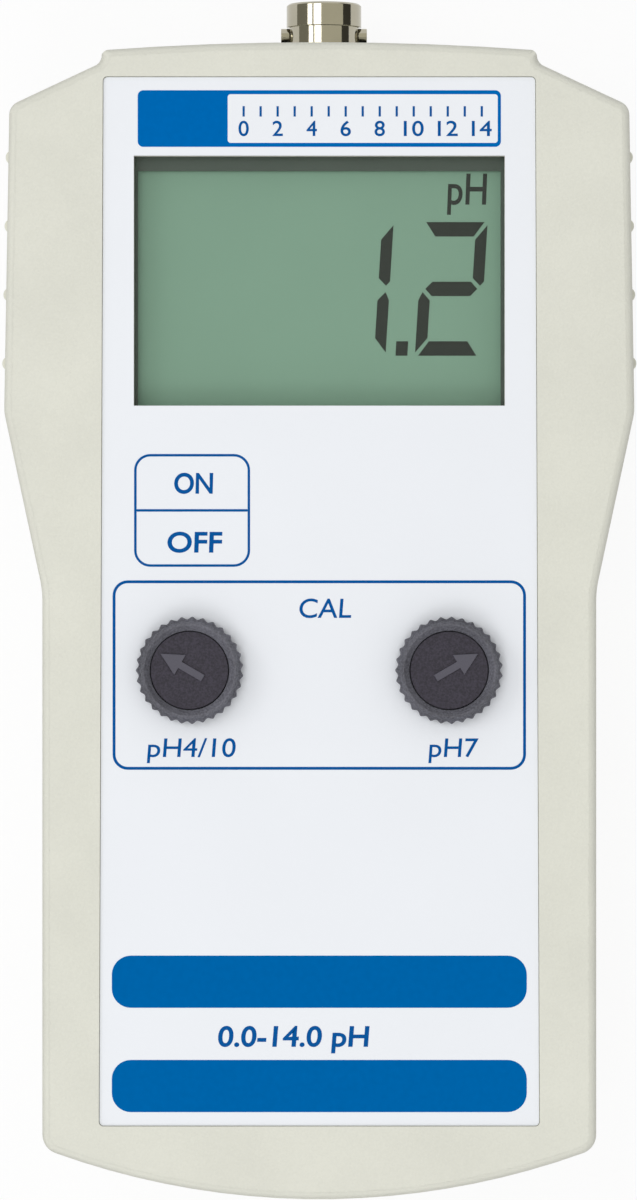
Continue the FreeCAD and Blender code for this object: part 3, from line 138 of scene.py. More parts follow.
class FilmSettings(bpy.types.PropertyGroup):
    ground: colour_setting("Film", "Colour of the bare film", 238, 241, 246)
    ink: colour_setting("Ink", "Colour of the two bars", 0, 100, 170)
    plate_ink: colour_setting("Plate ink", "Colour of the plate at the top", 0, 104, 180)
    line_ink: colour_setting("Line ink", "Colour of the lines and letters", 12, 86, 156)
    ink_thick: length_setting("Ink thickness", "How far the ink stands on the film", 0.02)
    heading: text_setting("Heading", "Word over the two knobs", "CAL")
    left_mark: text_setting("Left mark", "Mark under the left knob", "pH4/10")
    right_mark: text_setting("Right mark", "Mark under the right knob", "pH7")
    span_mark: text_setting("Range", "Range of the meter", "0.0-14.0 pH")


class DisplaySettings(bpy.types.PropertyGroup):
    reading: text_setting("Reading", "Digits on the display", "1.2")
    unit: text_setting("Unit", "Letters over the digits", "pH")
    ground: colour_setting("Ground", "Colour of the display where it is clear", 140, 177, 153)
    segment: colour_setting("Segment", "Colour of a dark segment", 56, 62, 56)
    # painted shade: the frame's dark colour is partly its own plastic and partly the shadow that the
    # window's edge casts on the display
    surround: colour_setting("Surround", "Colour of the moulded frame", 74, 88, 78)


class KnobSettings(bpy.types.PropertyGroup):
    grip: colour_setting("Grip", "Colour of the toothed ring", 92, 92, 100)
    cap: colour_setting("Cap", "Colour of the sunken cap", 48, 44, 56)
    arrow: colour_setting("Arrow", "Colour of the raised arrow", 84, 82, 93)
    teeth: IntProperty(name="Teeth", description="Teeth round a knob", default=31, min=3)
    tooth: length_setting("Tooth", "Depth of a tooth", 0.34)


class SocketSettings(bpy.types.PropertyGroup):
    metal: colour_setting("Metal", "Colour of the nickel plating", 178, 173, 156)
    insulator: colour_setting("Insulator", "Colour of the insulator", 232, 232, 226)
    edge: length_setting("Edge", "Rounding of the turned edges", 0.1)


class FastenerSettings(bpy.types.PropertyGroup):
    turns: FloatProperty(name="Turns", description="Thread turns in each millimetre", default=1.1, min=0.1)
    recess: length_setting("Recess", "Width of each slot of the cross recess", 0.62)


class StageSettings(bpy.types.PropertyGroup):
    distance: length_setting("Distance", "Camera above the front of the meter", 750)
    covered: length_setting("Covered", "Height of the view at the front of the meter", 150.6)
    key_light: power_setting("Key light", "Strength of each main lamp", 1.5)
    fill_light: power_setting("Fill light", "Strength of the low lamp", 0.94)
    sky: FloatProperty(name="Sky", description="Strength of the even light all round", default=0.705, min=0)


# ---- making meshes ------------------------------------------------------------------------------------


def mm(*lengths):
    """Millimetres as metres."""
    return tuple(length * MM for length in lengths)


def linked(name, data):
    """A new object in the scene."""
    thing = bpy.data.objects.new(name, data)
    bpy.context.scene.collection.objects.link(thing)
    return thing


def seated(mesh, name, body):
    """A piece made from a mesh whose points are already in place, riding on a body."""
    piece = linked(name, mesh)
    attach(piece, body)
    return piece


def evaluated(holder):
    """The plain mesh that an object shows. The object itself goes, with its modifiers."""
    bpy.context.view_layer.update()
    mesh = bpy.data.meshes.new_from_object(holder.evaluated_get(bpy.context.evaluated_depsgraph_get()))
    holder.modifiers.clear()
    bpy.data.objects.remove(holder)
    return mesh


def body_of(node):
    return frame["nodes"][node]["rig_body"]


def box_of(node):
    """Lowest and highest corner of a node, and its middle."""
    low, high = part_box(node)
    return low, high, (low + high) / 2


def baked(build, name, closed=False):
    """The mesh of a finished bmesh. A closed one has its faces turned outwards first."""
    if closed:
        bmesh.ops.recalc_face_normals(build, faces=build.faces)
    mesh = bpy.data.meshes.new(name)
    build.to_mesh(mesh)
    build.free()
    return mesh


def joined_copy(node):
    """A node's mesh with its loose triangles merged, and its flat faces made whole."""
    build = bmesh.new()
    build.from_mesh(frame["nodes"][node].data)
    bmesh.ops.remove_doubles(build, verts=build.verts, dist=0.002 * MM)
    bmesh.ops.dissolve_limit(build, angle_limit=math.radians(0.5), verts=build.verts, edges=build.edges)
    for face in build.faces:
        face.smooth = True
    mesh = baked(build, f"{node}_mesh")
    for name in ("custom_normal", "sharp_edge", "sharp_face"):
        if name in mesh.attributes:
            mesh.attributes.remove(mesh.attributes[name])
    return mesh


def softened(node, finish, width, segments=2, angle=30, mesh=None):
    """Stands for a node: its shape with the sharp edges rounded, or a mesh whose edges carry weights."""
    weighted = mesh is not None
    if not weighted:
        mesh = joined_copy(node)
    mesh.materials.append(finish)
    piece = seated(mesh, f"{node}_finished", body_of(node))
    rounding = piece.modifiers.new("rounding", "BEVEL")
    rounding.width = width
    rounding.segments = segments
    rounding.limit_method = "WEIGHT" if weighted else "ANGLE"
    rounding.angle_limit = math.radians(angle)
    rounding.harden_normals = not weighted
    rounding.use_clamp_overlap = True
    if weighted:
        piece.modifiers.new("even_normals", "WEIGHTED_NORMAL").keep_sharp = True
    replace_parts(piece, node)


def painted(finish, *nodes):
    """Gives nodes whose shape is right a finish."""
    for node in nodes:
        mesh = frame["nodes"][node].data
        mesh.materials.clear()
        mesh.materials.append(finish)


def walled(build, first, second):
    """Faces between two closed loops of points. A loop of one point is a tip."""
    count = max(len(first), len(second))
    for here in range(count):
        after = (here + 1) % count
        corners = (first[here % len(first)], second[here % len(second)], second[after % len(second)],
                   first[after % len(first)])
        build.faces.new(list(dict.fromkeys(corners)))


def slab_mesh(name, outlines, low, thickness):
    """A closed mesh of flat pieces of one thickness. Each outline is a list of (x, y), anticlockwise."""
    build = bmesh.new()
    for outline in outlines:
        foot = [build.verts.new((x, y, low)) for x, y in outline]
        head = [build.verts.new((x, y, low + thickness)) for x, y in outline]
        build.faces.new(reversed(foot))
        build.faces.new(head)
        walled(build, head, foot)
    return baked(build, name, closed=True)


def rounded_outline(left, right, low, high, radius, steps=8):
    """The outline of a box with round corners."""
    outline = []
    corners = ((right, high, 0), (left, high, 1), (left, low, 2), (right, low, 3))
    for x, y, quarter in corners:
        centre_x = x - math.copysign(radius, x - (left + right) / 2)
        centre_y = y - math.copysign(radius, y - (low + high) / 2)
        for step in range(steps + 1):
            turn = math.pi / 2 * (quarter + step / steps)
            outline.append((centre_x + radius * math.cos(turn), centre_y + radius * math.sin(turn)))
    return outline


def ring_mesh(name, edges, radius, line, low, thickness):
    """A closed outline of a box with round corners. Its line lies inside left, right, foot and head."""
    left, right, foot, head = edges
    outer = rounded_outline(left, right, foot, head, radius)
    inner = rounded_outline(left + line, right - line, foot + line, head - line, radius - line)
    build = bmesh.new()
    loops = []
    for outline, height in ((outer, low + thickness), (inner, low + thickness), (inner, low), (outer, low)):
        loops.append([build.verts.new((x, y, height)) for x, y in outline])
    for first, second in zip(loops, [*loops[1:], loops[0]]):
        walled(build, first, second)
    return baked(build, name, closed=True)


def printed(name, ink, *meshes, body="case", slot="film"):
    """Seats flat meshes as one piece with one finish."""
    build = bmesh.new()
    for mesh in meshes:
        build.from_mesh(mesh)
        bpy.data.meshes.remove(mesh)
    whole = baked(build, name)
    whole.materials.append(ink)
    seated(whole, name, body)


def letters(text, size, lean):
    """Flat letters as a mesh, lying in the XY plane with their baseline on the X axis."""
    curve = bpy.data.curves.new("letters", "FONT")
    curve.body = text
    curve.size = size
    curve.shear = lean
    curve.resolution_u = 6
    mesh = evaluated(linked("letters", curve))
    bpy.data.curves.remove(curve)
    return mesh


def extent(mesh):
    xs = [vertex.co.x for vertex in mesh.vertices]
    ys = [vertex.co.y for vertex in mesh.vertices]
    return min(xs), max(xs), min(ys), max(ys)


# half the squared sum of a corner's two normals: 1 at a right angle, and less at a sharper one
SHARPEST = 0.6


def thickened(build, amount):
    """Moves the outlines of flat letters outward. The points of sharp corners are kept short."""
    moves = []
    for vertex in build.verts:
        edges = [edge for edge in vertex.link_edges if edge.is_boundary]
        outward = Vector()
        for edge in edges:
            run = (edge.verts[1].co - edge.verts[0].co).normalized()
            side = Vector((run.y, -run.x, 0.0))
            inward = edge.link_faces[0].calc_center_median() - edge.verts[0].co
            outward += -side if side.dot(inward) > 0 else side
        if len(edges) == 2:
            moves.append((vertex, outward * (amount / max(outward.length_squared / 2, SHARPEST))))
    for vertex, move in moves:
        vertex.co += move


def lettering(text, x, baseline, cap, wide, low, thickness, lean=0.0, weight=0.0):
    """Raised letters of one cap height and width, with their left end at x. weight is a share of cap."""
    capital = letters("H", 1.0, 0.0)
    capital_low, capital_high = extent(capital)[2:]
    bpy.data.meshes.remove(capital)
    amount = weight * cap
    mesh = letters(text, (cap - 2 * amount) / (capital_high - capital_low), lean)
    left, right = extent(mesh)[:2]
    build = bmesh.new()
    build.from_mesh(mesh)
    bpy.data.meshes.remove(mesh)
    bmesh.ops.remove_doubles(build, verts=build.verts, dist=cap * 1e-4)
    sideways = (wide - 2 * amount) / (right - left)
    for vertex in build.verts:
        vertex.co.x = x + amount + (vertex.co.x - left) * sideways
        vertex.co.y += baseline + amount
        vertex.co.z = low
    thickened(build, amount)
    raised = bmesh.ops.extrude_face_region(build, geom=build.faces[:])
    for item in raised["geom"]:
        if isinstance(item, bmesh.types.BMVert):
            item.co.z = low + thickness
    return baked(build, "lettering", closed=True)


# ---- finishes -----------------------------------------------------------------------------------------


class Wiring:
    """Short ways to add and link the nodes of a tree."""

    def __init__(self, tree):
        self.tree = tree

    def node(self, kind, inputs, output=0, **settings):
        """A new node with its inputs set or linked. Gives one of its outputs."""
        node = self.tree.nodes.new(kind)
        for name, setting in settings.items():
            setattr(node, name, setting)
        for name, given in inputs.items():
            for one in given if isinstance(given, list) else [given]:
                if isinstance(one, bpy.types.NodeSocket):
                    self.tree.links.new(one, node.inputs[name])
                else:
                    node.inputs[name].default_value = one
        return node.outputs[output]

    def math(self, operation, first, second):
        return self.node("ShaderNodeMath", {0: first, 1: second}, operation=operation)


class Finish(Wiring):
    """A material with one Principled shader, and short ways to add the nodes that feed it."""

    def __init__(self, name, colour, roughness, metallic=0.0):
        self.material = bpy.data.materials.new(name)
        self.material.use_nodes = True
        super().__init__(self.material.node_tree)
        self.shader = self.tree.nodes["Principled BSDF"]
        self.colour = (*colour, 1.0)
        self.set("Base Color", self.colour)
        self.set("Roughness", roughness)
        self.set("Metallic", metallic)
        self.place = self.tree.nodes.new("ShaderNodeTexCoord").outputs["Object"]

    def set(self, socket, number):
        self.shader.inputs[socket].default_value = number
        return self

    def feed(self, socket, output):
        self.tree.links.new(output, self.shader.inputs[socket])

    def along(self, axis):
        return self.node("ShaderNodeSeparateXYZ", {"Vector": self.place}, axis)

    def stretched(self, x, y, z):
        """Object coordinates scaled along each axis."""
        return self.node("ShaderNodeMapping", {"Vector": self.place, "Scale": (x, y, z)}, "Vector")

    def noise(self, size, detail=2.0, place=None):
        """Soft noise whose spots are about size across."""
        inputs = {"Vector": place or self.place, "Scale": 1 / size, "Detail": detail}
        return self.node("ShaderNodeTexNoise", inputs, "Fac")

    def cells(self, size, place=None):
        """Distance to the nearest of many scattered points that are about size apart."""
        inputs = {"Vector": place or self.place, "Scale": 1 / size}
        return self.node("ShaderNodeTexVoronoi", inputs, "Distance")

    def between(self, share, low, high, start=0.0, end=1.0):
        """Turns start to end into low to high."""
        inputs = {"Value": share, "From Min": start, "From Max": end, "To Min": low, "To Max": high}
        return self.node("ShaderNodeMapRange", inputs, "Result")

    def mixed(self, share, low, high):
        """A colour between two colours."""
        return self.node("ShaderNodeMix", {0: share, 6: low, 7: high}, 2, data_type="RGBA")

    def shade(self, amount):
        """The base colour made lighter or darker."""
        return (*[min(1.0, channel * amount) for channel in self.colour[:3]], 1.0)

    def shaded(self, share, low, high):
        """The base colour runs from low to high times itself."""
        self.feed("Base Color", self.mixed(share, self.shade(low), self.shade(high)))

    def dulled(self, share, low, high, start=0.0, end=1.0):
        """The roughness runs from low to high."""
        self.feed("Roughness", self.between(share, low, high, start, end))

    def bumped(self, height, depth):
        inputs = {"Height": height, "Distance": depth, "Strength": 1.0}
        self.feed("Normal", self.node("ShaderNodeBump", inputs, "Normal"))


def moulded(name, colour, roughness=0.5, grain=0.3 * MM, depth=0.01 * MM, mottle=0.03, gloss=0.5):
    """Moulded plastic: a fine spark-eroded grain, and colour and gloss that drift a little."""
    finish = Finish(name, colour, roughness).set("Specular IOR Level", gloss)
    fine = finish.noise(grain, 3.0)
    drift = finish.noise(9 * MM, 3.0)
    both = finish.mixed(0.5, fine, drift)
    finish.shaded(finish.between(both, 0, 1, 0.35, 0.65), 1 - mottle, 1 + mottle)
    patches = finish.noise(2.5 * MM, 3.0)
    finish.dulled(patches, roughness - 0.06, roughness + 0.08, 0.3, 0.7)
    finish.bumped(finish.between(fine, 0, 1, 0.3, 0.7), depth)
    return finish.material


def plated(name, colour, roughness=0.22, brush=(1, 1, 1)):
    """Plated or rolled metal: fine marks along one direction, and gloss that drifts."""
    finish = Finish(name, colour, roughness, metallic=1.0)
    marks = finish.noise(0.25 * MM, 3.0, finish.stretched(*brush))
    drift = finish.noise(3 * MM, 3.0)
    finish.shaded(drift, 0.9, 1.06)
    finish.dulled(marks, roughness * 0.7, roughness * 1.5, 0.3, 0.7)
    finish.bumped(marks, 0.02 * MM * roughness)
    return finish.material


def film_finish(settings):
    """Matt polyester film: a very fine even emboss under a low sheen."""
    finish = Finish("bare_film", settings.ground, 0.42)
    emboss = finish.cells(0.16 * MM)
    drift = finish.noise(14 * MM, 2.0)
    finish.shaded(drift, 0.985, 1.01)
    finish.dulled(finish.noise(1.5 * MM), 0.37, 0.47, 0.3, 0.7)
    finish.bumped(emboss, 0.004 * MM)
    return finish.material


def ink_finish(name, colour):
    """Screen-printed ink: even colour with a faint mesh and the odd thin spot."""
    finish = Finish(name, colour, 0.42).set("Specular IOR Level", 0.0)
    mesh = finish.cells(0.14 * MM)
    thin = finish.between(finish.noise(0.8 * MM, 4.0), 0, 1, 0.25, 0.75)
    finish.shaded(thin, 0.96, 1.04)
    finish.dulled(thin, 0.38, 0.5)
    finish.bumped(mesh, 0.003 * MM)
    return finish.material


def glass_ground_finish(settings):
    """The reflective ground of the display: green grey with a silky grain that catches the light."""
    finish = Finish("display_ground", settings.ground, 0.45).set("Specular IOR Level", 0.2)
    silk = finish.noise(0.12 * MM, 2.0, finish.stretched(1.0, 0.25, 1.0))
    drift = finish.noise(16 * MM, 1.0)
    share = finish.mixed(0.6, silk, drift)
    finish.shaded(share, 0.94, 1.06)
    finish.dulled(silk, 0.4, 0.52)
    finish.bumped(silk, 0.002 * MM)
    return finish.material


def lens_finish():
    """A clear window: nearly unseen, with its own thin gloss."""
    finish = Finish("clear_lens", (0.02, 0.025, 0.022), 0.06)
    finish.set("Alpha", 0.06)
    finish.set("Specular IOR Level", 0.4)
    smear = finish.noise(5 * MM, 3.0, finish.stretched(1.0, 0.4, 1.0))
    finish.dulled(smear, 0.05, 0.12, 0.35, 0.65)
    return finish.material


# ---- pieces -------------------------------------------------------------------------------------------


class PieceOperator(bpy.types.Operator):
    """Makes one group of the meter's pieces."""

    bl_options = {"REGISTER", "UNDO"}

    def execute(self, context):
        self.make(context.scene)
        return {"FINISHED"}


class METER_OT_case(PieceOperator):
    """Finish the two moulded shells and the battery door."""

    bl_idname = "meter.case"
    bl_label = "Case"

    # half width and drop from the top of each corner of the raised top end, and how near counts as there
    CROWN = (mm(27.3, 1.0), mm(27.45, 2.6))
    NEAR = 0.1 * MM
    # edges turn more than SHARP, and those shorter than SHORT stay as they are
    SHARP = math.radians(50)
    SHORT = 0.5 * MM
    # how near the parting plane an edge lies to count as in it
    LEVEL = 0.01 * MM
    MOTTLE = 0.035

    def shell(self, node, settings):
        """A half of the case, with the corners of its top end rounded and its parting edges eased."""
        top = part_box(node)[1].y
        parting = box_of("socket_barrel")[2].z

        def at_crown(edge):
            first, second = edge.verts[0].co, edge.verts[1].co
            return abs(first.z - second.z) > self.SHORT and any(
                abs(abs(spot.x) - half) < self.NEAR and abs(top - drop - spot.y) < self.NEAR
                for spot in (first, second) for half, drop in self.CROWN
            )

        def at_parting(edge):
            return edge.is_convex and edge.calc_face_angle(0.0) > self.SHARP and all(
                abs(end.co.z - parting) < self.LEVEL for end in edge.verts
            )

        def long(edge):
            return all(other.calc_length() > self.SHORT for end in edge.verts for other in end.link_edges)

        mesh = joined_copy(node)
        build = bmesh.new()
        build.from_mesh(mesh)
        bpy.data.meshes.remove(mesh)
        for chosen, cut, segments in ((at_crown, settings.crown, 5), (at_parting, settings.parting, 1)):
            edges = [edge for edge in build.edges if chosen(edge)]
            bmesh.ops.bevel(
                build, geom=edges, offset=cut, offset_type="OFFSET", segments=segments, profile=0.5,
                affect="EDGES", clamp_overlap=False, loop_slide=False,
            )
        weight = build.edges.layers.float.new("bevel_weight_edge")
        for face in build.faces:
            face.smooth = True
        for edge in build.edges:
            edge.smooth = edge.calc_face_angle(0.0) < self.SHARP
            edge[weight] = 1.0 if not edge.smooth and long(edge) else 0.0
        return baked(build, f"{node}_mesh")

    def make(self, scene):
        settings = scene.meter_case
        plastic = moulded(
            "case_plastic", settings.plastic, 0.5, settings.grain, settings.grain_depth, self.MOTTLE
        )
        for node in ("front_shell", "rear_shell", "battery_door"):
            softened(node, plastic, settings.edge, mesh=self.shell(node, settings))


class METER_OT_film(PieceOperator):
    """Print the bars, boxes, letters and scale on the front film."""

    bl_idname = "meter.film"
    bl_label = "Front film"

    # the plate's drop from the film's top edge, height, half width and corner radius
    PLATE = mm(1.65, 7.1, 22.8, 0.7)
    # the left and right edge of its pale window, and the border over and under that
    PLATE_WINDOW = mm(-11.5, 22.4, 0.5)
    # the foot of each bar, from the film's bottom edge
    BARS = mm(1.7, 14.8)
    BAR_HALF = 26.05 * MM
    BAR_HIGH = 6.55 * MM
    BAR_ROUND = 2.4 * MM
    # the box round the knobs: half width, foot and head from the knobs' centres, and corner radius
    BOX = mm(25.95, -12.5, 11.28, 1.9)
    LINE = 0.36 * MM
    # setting, left end, baseline from the knobs' centres, cap height, width and weight
    KNOB_MARKS = (
        ("heading", *mm(-2.5, 6.57, 2.4, 6.5), 0.008),
        ("left_mark", *mm(-21.65, -10.9, 2.33, 11.15), 0.008),
        ("right_mark", *mm(13.7, -10.9, 2.33, 6.3), 0.008),
    )
    # the same for the range, from the film's bottom edge
    SPAN_MARK = ("span_mark", *mm(-12.7, 9.9, 2.6, 19.0), 0.03)
    LEAN = 0.07
    # the scale: steps, margin at each end, width and height of a mark, and its height over the middle
    STEPS = 14
    MARGIN = 2.0 * MM
    MARK = mm(0.28, 1.3, 0.9)
    # its numbers: baseline from the middle, cap height, width of one and of two digits, and weight
    NUMBER = (*mm(-2.2, 1.9), mm(1.3, 2.5), 0.015)

    def make(self, scene):
        settings = scene.meter_film
        low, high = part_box("front_film")
        top, thick = high.z, settings.ink_thick
        knobs = box_of("ph4_knob")[2].y
        painted(film_finish(settings), "front_film")
        line_ink = ink_finish("line_ink", settings.line_ink)

        feet = [low.y + rise for rise in self.BARS]
        bars = [
            rounded_outline(-self.BAR_HALF, self.BAR_HALF, foot, foot + self.BAR_HIGH, self.BAR_ROUND)
            for foot in feet
        ]
        printed("blue_bars", ink_finish("blue_ink", settings.ink), slab_mesh("bars", bars, top, thick))

        drop, tall, half, corner = self.PLATE
        plate_top = high.y - drop
        plate = rounded_outline(-half, half, plate_top - tall, plate_top, corner)
        plate_ink = ink_finish("plate_ink", settings.plate_ink)
        printed("scale_plate", plate_ink, slab_mesh("plate", [plate], top, thick))
        left, right, border = self.PLATE_WINDOW
        window = rounded_outline(left, right, plate_top - tall + border, plate_top - border, corner / 2)
        window_mesh = slab_mesh("window", [window], top + thick, thick / 2)
        printed("scale_window", film_finish(settings), window_mesh)
        self.scale(thick, left, right, plate_top - tall / 2, top + 1.5 * thick, line_ink)

        half, foot, head, corner = self.BOX
        edges = (-half, half, knobs + foot, knobs + head)
        printed("calibration_box", line_ink, ring_mesh("box", edges, corner, self.LINE, top, thick))

        words = [
            lettering(getattr(settings, name), x, start + rise, cap, wide, top, thick, self.LEAN, weight)
            for start, marks in ((knobs, self.KNOB_MARKS), (low.y, (self.SPAN_MARK,)))
            for name, x, rise, cap, wide, weight in marks
        ]
        printed("film_letters", line_ink, *words)

    def scale(self, thick, left, right, y, low, ink):
        """A plain scale of fifteen marks, one for each step of pH from 0 to 14."""
        pitch = (right - left - 2 * self.MARGIN) / self.STEPS
        start = left + self.MARGIN
        wide, tall, rise = self.MARK
        made = grown("scale_marks", [], scale_nodes, (
            ("Count", "Int", self.STEPS + 1),
            ("Start", "Vector", (start, y + rise, low + thick / 2)),
            ("Pitch", "Float", pitch),
            ("Width", "Float", wide),
            ("Height", "Float", tall),
            ("Thickness", "Float", thick),
            ("Finish", "Material", ink),
        ))
        seated(made, "scale_marks", "case")
        fall, cap, widths, weight = self.NUMBER
        numbers = []
        for step in range(0, self.STEPS + 1, 2):
            text = str(step)
            wide = widths[len(text) - 1]
            x = start + step * pitch - wide / 2
            numbers.append(lettering(text, x, y + fall, cap, wide, low, thick, weight=weight))
        printed("scale_numbers", ink, *numbers)


def grown(name, points, wire, inputs):
    """The plain mesh that a Geometry Nodes tree with named inputs makes from points."""
    mesh = bpy.data.meshes.new(name)
    mesh.from_pydata(points, [], [])
    tree = bpy.data.node_groups.new(name, "GeometryNodeTree")
    tree.interface.new_socket("Geometry", in_out="OUTPUT", socket_type="NodeSocketGeometry")
    tree.interface.new_socket("Geometry", in_out="INPUT", socket_type="NodeSocketGeometry")
    identifiers = [
        tree.interface.new_socket(label, in_out="INPUT", socket_type="NodeSocket" + kind).identifier
        for label, kind, given in inputs
    ]
    wire(Tree(tree))
    holder = linked(name, mesh)
    modifier = holder.modifiers.new("nodes", "NODES")
    modifier.node_group = tree
    for identifier, (label, kind, given) in zip(identifiers, inputs):
        modifier[identifier] = given
    return evaluated(holder)


class Tree(Wiring):
    """A Geometry Nodes tree, its inputs and its result."""

    def __init__(self, tree):
        super().__init__(tree)
        self.given = tree.nodes.new("NodeGroupInput").outputs
        self.result = tree.nodes.new("NodeGroupOutput").inputs

    def times(self, first, second):
        return self.math("MULTIPLY", first, second)

    def less(self, first, second):
        return self.math("SUBTRACT", first, second)

    def vector(self, x=0.0, y=0.0, z=0.0):
        return self.node("ShaderNodeCombineXYZ", {"X": x, "Y": y, "Z": z})

    def raised(self, shape, height, **turned):
        """A shape moved along Z, and turned first where a rotation is given."""
        inputs = {"Geometry": shape, "Translation": self.vector(z=height), **turned}
        return self.node("GeometryNodeTransform", inputs)

    def finish(self, shape):
        """Realize Instances and Set Material end every tree."""
        real = self.node("GeometryNodeRealizeInstances", {"Geometry": shape})
        inputs = {"Geometry": real, "Material": self.given["Finish"]}
        self.tree.links.new(self.node("GeometryNodeSetMaterial", inputs), self.result[0])


def scale_nodes(build):
    """A row of small upright marks."""
    given = build.given
    step = build.vector(given["Pitch"])
    inputs = {"Count": given["Count"], "Start Location": given["Start"], "Offset": step}
    row = build.node("GeometryNodeMeshLine", inputs)
    size = build.vector(given["Width"], given["Height"], given["Thickness"])
    mark = build.node("GeometryNodeMeshCube", {"Size": size})
    build.finish(build.node("GeometryNodeInstanceOnPoints", {"Points": row, "Instance": mark}))


# shares of a screw head's height and radius, and of a thread's radius and length
BRIM_HIGH, DOME_TOP = 0.45, 0.74
SLOT_LONG, SLOT_DEEP = 1.15, 1.1
CORE_RADIUS, RIDGE_LONG, RIDGE_START = 0.78, 0.94, 0.03


def screw_nodes(build):
    """A pan-head screw with a cross recess and a rolled thread, standing on its head at each point."""
    given = build.given
    head_radius, head_high = given["Head radius"], given["Head height"]
    thread_radius, thread_long = given["Thread radius"], given["Thread length"]

    brim_high = build.times(head_high, BRIM_HIGH)
    inputs = {"Vertices": 40, "Radius": head_radius, "Depth": brim_high}
    brim = build.raised(
        build.node("GeometryNodeMeshCylinder", inputs, "Mesh"), build.times(brim_high, -0.5)
    )
    inputs = {
        "Vertices": 40,
        "Radius Top": build.times(head_radius, DOME_TOP),
        "Radius Bottom": head_radius,
        "Depth": build.less(head_high, brim_high),
    }
    dome = build.raised(
        build.node("GeometryNodeMeshCone", inputs, "Mesh"), build.times(brim_high, -1.0),
        Rotation=(math.pi, 0.0, 0.0),
    )
    slot_long, slot_deep = build.times(head_radius, SLOT_LONG), build.times(head_high, SLOT_DEEP)
    slots = []
    for across in ((slot_long, given["Recess"]), (given["Recess"], slot_long)):
        slot = build.node("GeometryNodeMeshCube", {"Size": build.vector(*across, slot_deep)})
        slots.append(build.raised(slot, build.times(head_high, -1.0)))
    head = build.node(
        "GeometryNodeMeshBoolean", {"Mesh 2": [brim, dome]}, operation="UNION", solver="EXACT"
    )
    head = build.node(
        "GeometryNodeMeshBoolean", {"Mesh 1": head, "Mesh 2": slots}, operation="DIFFERENCE", solver="EXACT"
    )

    core_radius = build.times(thread_radius, CORE_RADIUS)
    inputs = {"Vertices": 20, "Radius": core_radius, "Depth": thread_long}
    core = build.raised(
        build.node("GeometryNodeMeshCylinder", inputs, "Mesh"), build.times(thread_long, 0.5)
    )
    helix = build.node("GeometryNodeCurveSpiral", {
        "Resolution": 14,
        "Rotations": build.times(given["Turns"], build.times(thread_long, 1 / MM)),
        "Start Radius": core_radius,
        "End Radius": core_radius,
        "Height": build.times(thread_long, RIDGE_LONG),
    })
    inputs = {"Resolution": 4, "Radius": build.less(thread_radius, core_radius)}
    profile = build.node("GeometryNodeCurvePrimitiveCircle", inputs, "Curve", mode="RADIUS")
    inputs = {"Curve": helix, "Profile Curve": profile, "Fill Caps": True}
    ridge = build.node("GeometryNodeCurveToMesh", inputs)
    thread = build.raised(ridge, build.times(thread_long, RIDGE_START))
    screw = build.node("GeometryNodeJoinGeometry", {"Geometry": [head, core, thread]})
    build.finish(
        build.node("GeometryNodeInstanceOnPoints", {"Points": given["Geometry"], "Instance": screw})
    )


class METER_OT_screws(PieceOperator):
    """Cut the threads and cross recesses of the case screws and the board screws."""

    bl_idname = "meter.screws"
    bl_label = "Screws"

    # thread radius and head height of each kind
    KINDS = (("case_screw", *mm(1.25, 1.8)), ("board_screw", *mm(0.85, 1.3)))
    COUNT = 4

    def make(self, scene):
        settings = scene.meter_fastener
        steel = plated("screw_steel", srgb(176, 176, 172), 0.3)
        for kind, thread_radius, head_high in self.KINDS:
            nodes = [f"{kind}_{number}" for number in range(1, self.COUNT + 1)]
            boxes = [box_of(node) for node in nodes]
            low, high, middle = boxes[0]
            seats = [(middle.x, middle.y, low.z + head_high) for low, high, middle in boxes]
            made = grown(kind, seats, screw_nodes, (
                ("Head radius", "Float", (high.x - low.x) / 2),
                ("Head height", "Float", head_high),
                ("Thread radius", "Float", thread_radius),
                ("Thread length", "Float", high.z - low.z - head_high),
                ("Turns", "Float", settings.turns),
                ("Recess", "Float", settings.recess),
                ("Finish", "Material", steel),
            ))
            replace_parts(seated(made, f"{kind}s", "case"), *nodes)


class METER_OT_key(PieceOperator):
    """Print and colour the power key, and what it presses."""

    bl_idname = "meter.key"
    bl_label = "Power key"

    # the outline lies on the film and reaches over the gap round the key
    LINE = 0.31 * MM
    BEYOND = 0.13 * MM
    ROUND = 1.9 * MM
    # each word's left end and baseline from the key's centre, cap height and width
    WORDS = (
        ("ON", *mm(-2.25, 2.1, 2.6, 4.9)),
        ("OFF", *mm(-3.1, -5.3, 2.6, 6.9)),
    )
    LEAN = 0.03
    WEIGHT = 0.03

    def make(self, scene):
        settings = scene.meter_film
        low, high, middle = box_of("key_face")
        top, thick = high.z, settings.ink_thick
        painted(film_finish(settings), "key_face")
        ink = ink_finish("key_ink", settings.line_ink)
        left, right = low.x - self.BEYOND, high.x + self.BEYOND
        edges = (left, right, low.y - self.BEYOND, high.y + self.BEYOND)
        ring = ring_mesh("key", edges, self.ROUND + self.BEYOND, self.LINE, top, thick)
        printed("key_outline", ink, ring)
        half = self.LINE / 2
        across = rounded_outline(
            left + self.LINE, right - self.LINE, middle.y - half, middle.y + half, half / 2, 2
        )
        words = [
            lettering(text, middle.x + x, middle.y + y, cap, wide, top, thick, self.LEAN, self.WEIGHT)
            for text, x, y, cap, wide in self.WORDS
        ]
        printed("key_print", ink, slab_mesh("key_line", [across], top, thick), *words, body="power_key")
        painted(moulded("actuator_plastic", srgb(214, 214, 206), 0.45), "key_actuator")
        painted(moulded("plunger_plastic", srgb(40, 40, 42), 0.4), "switch_plunger")


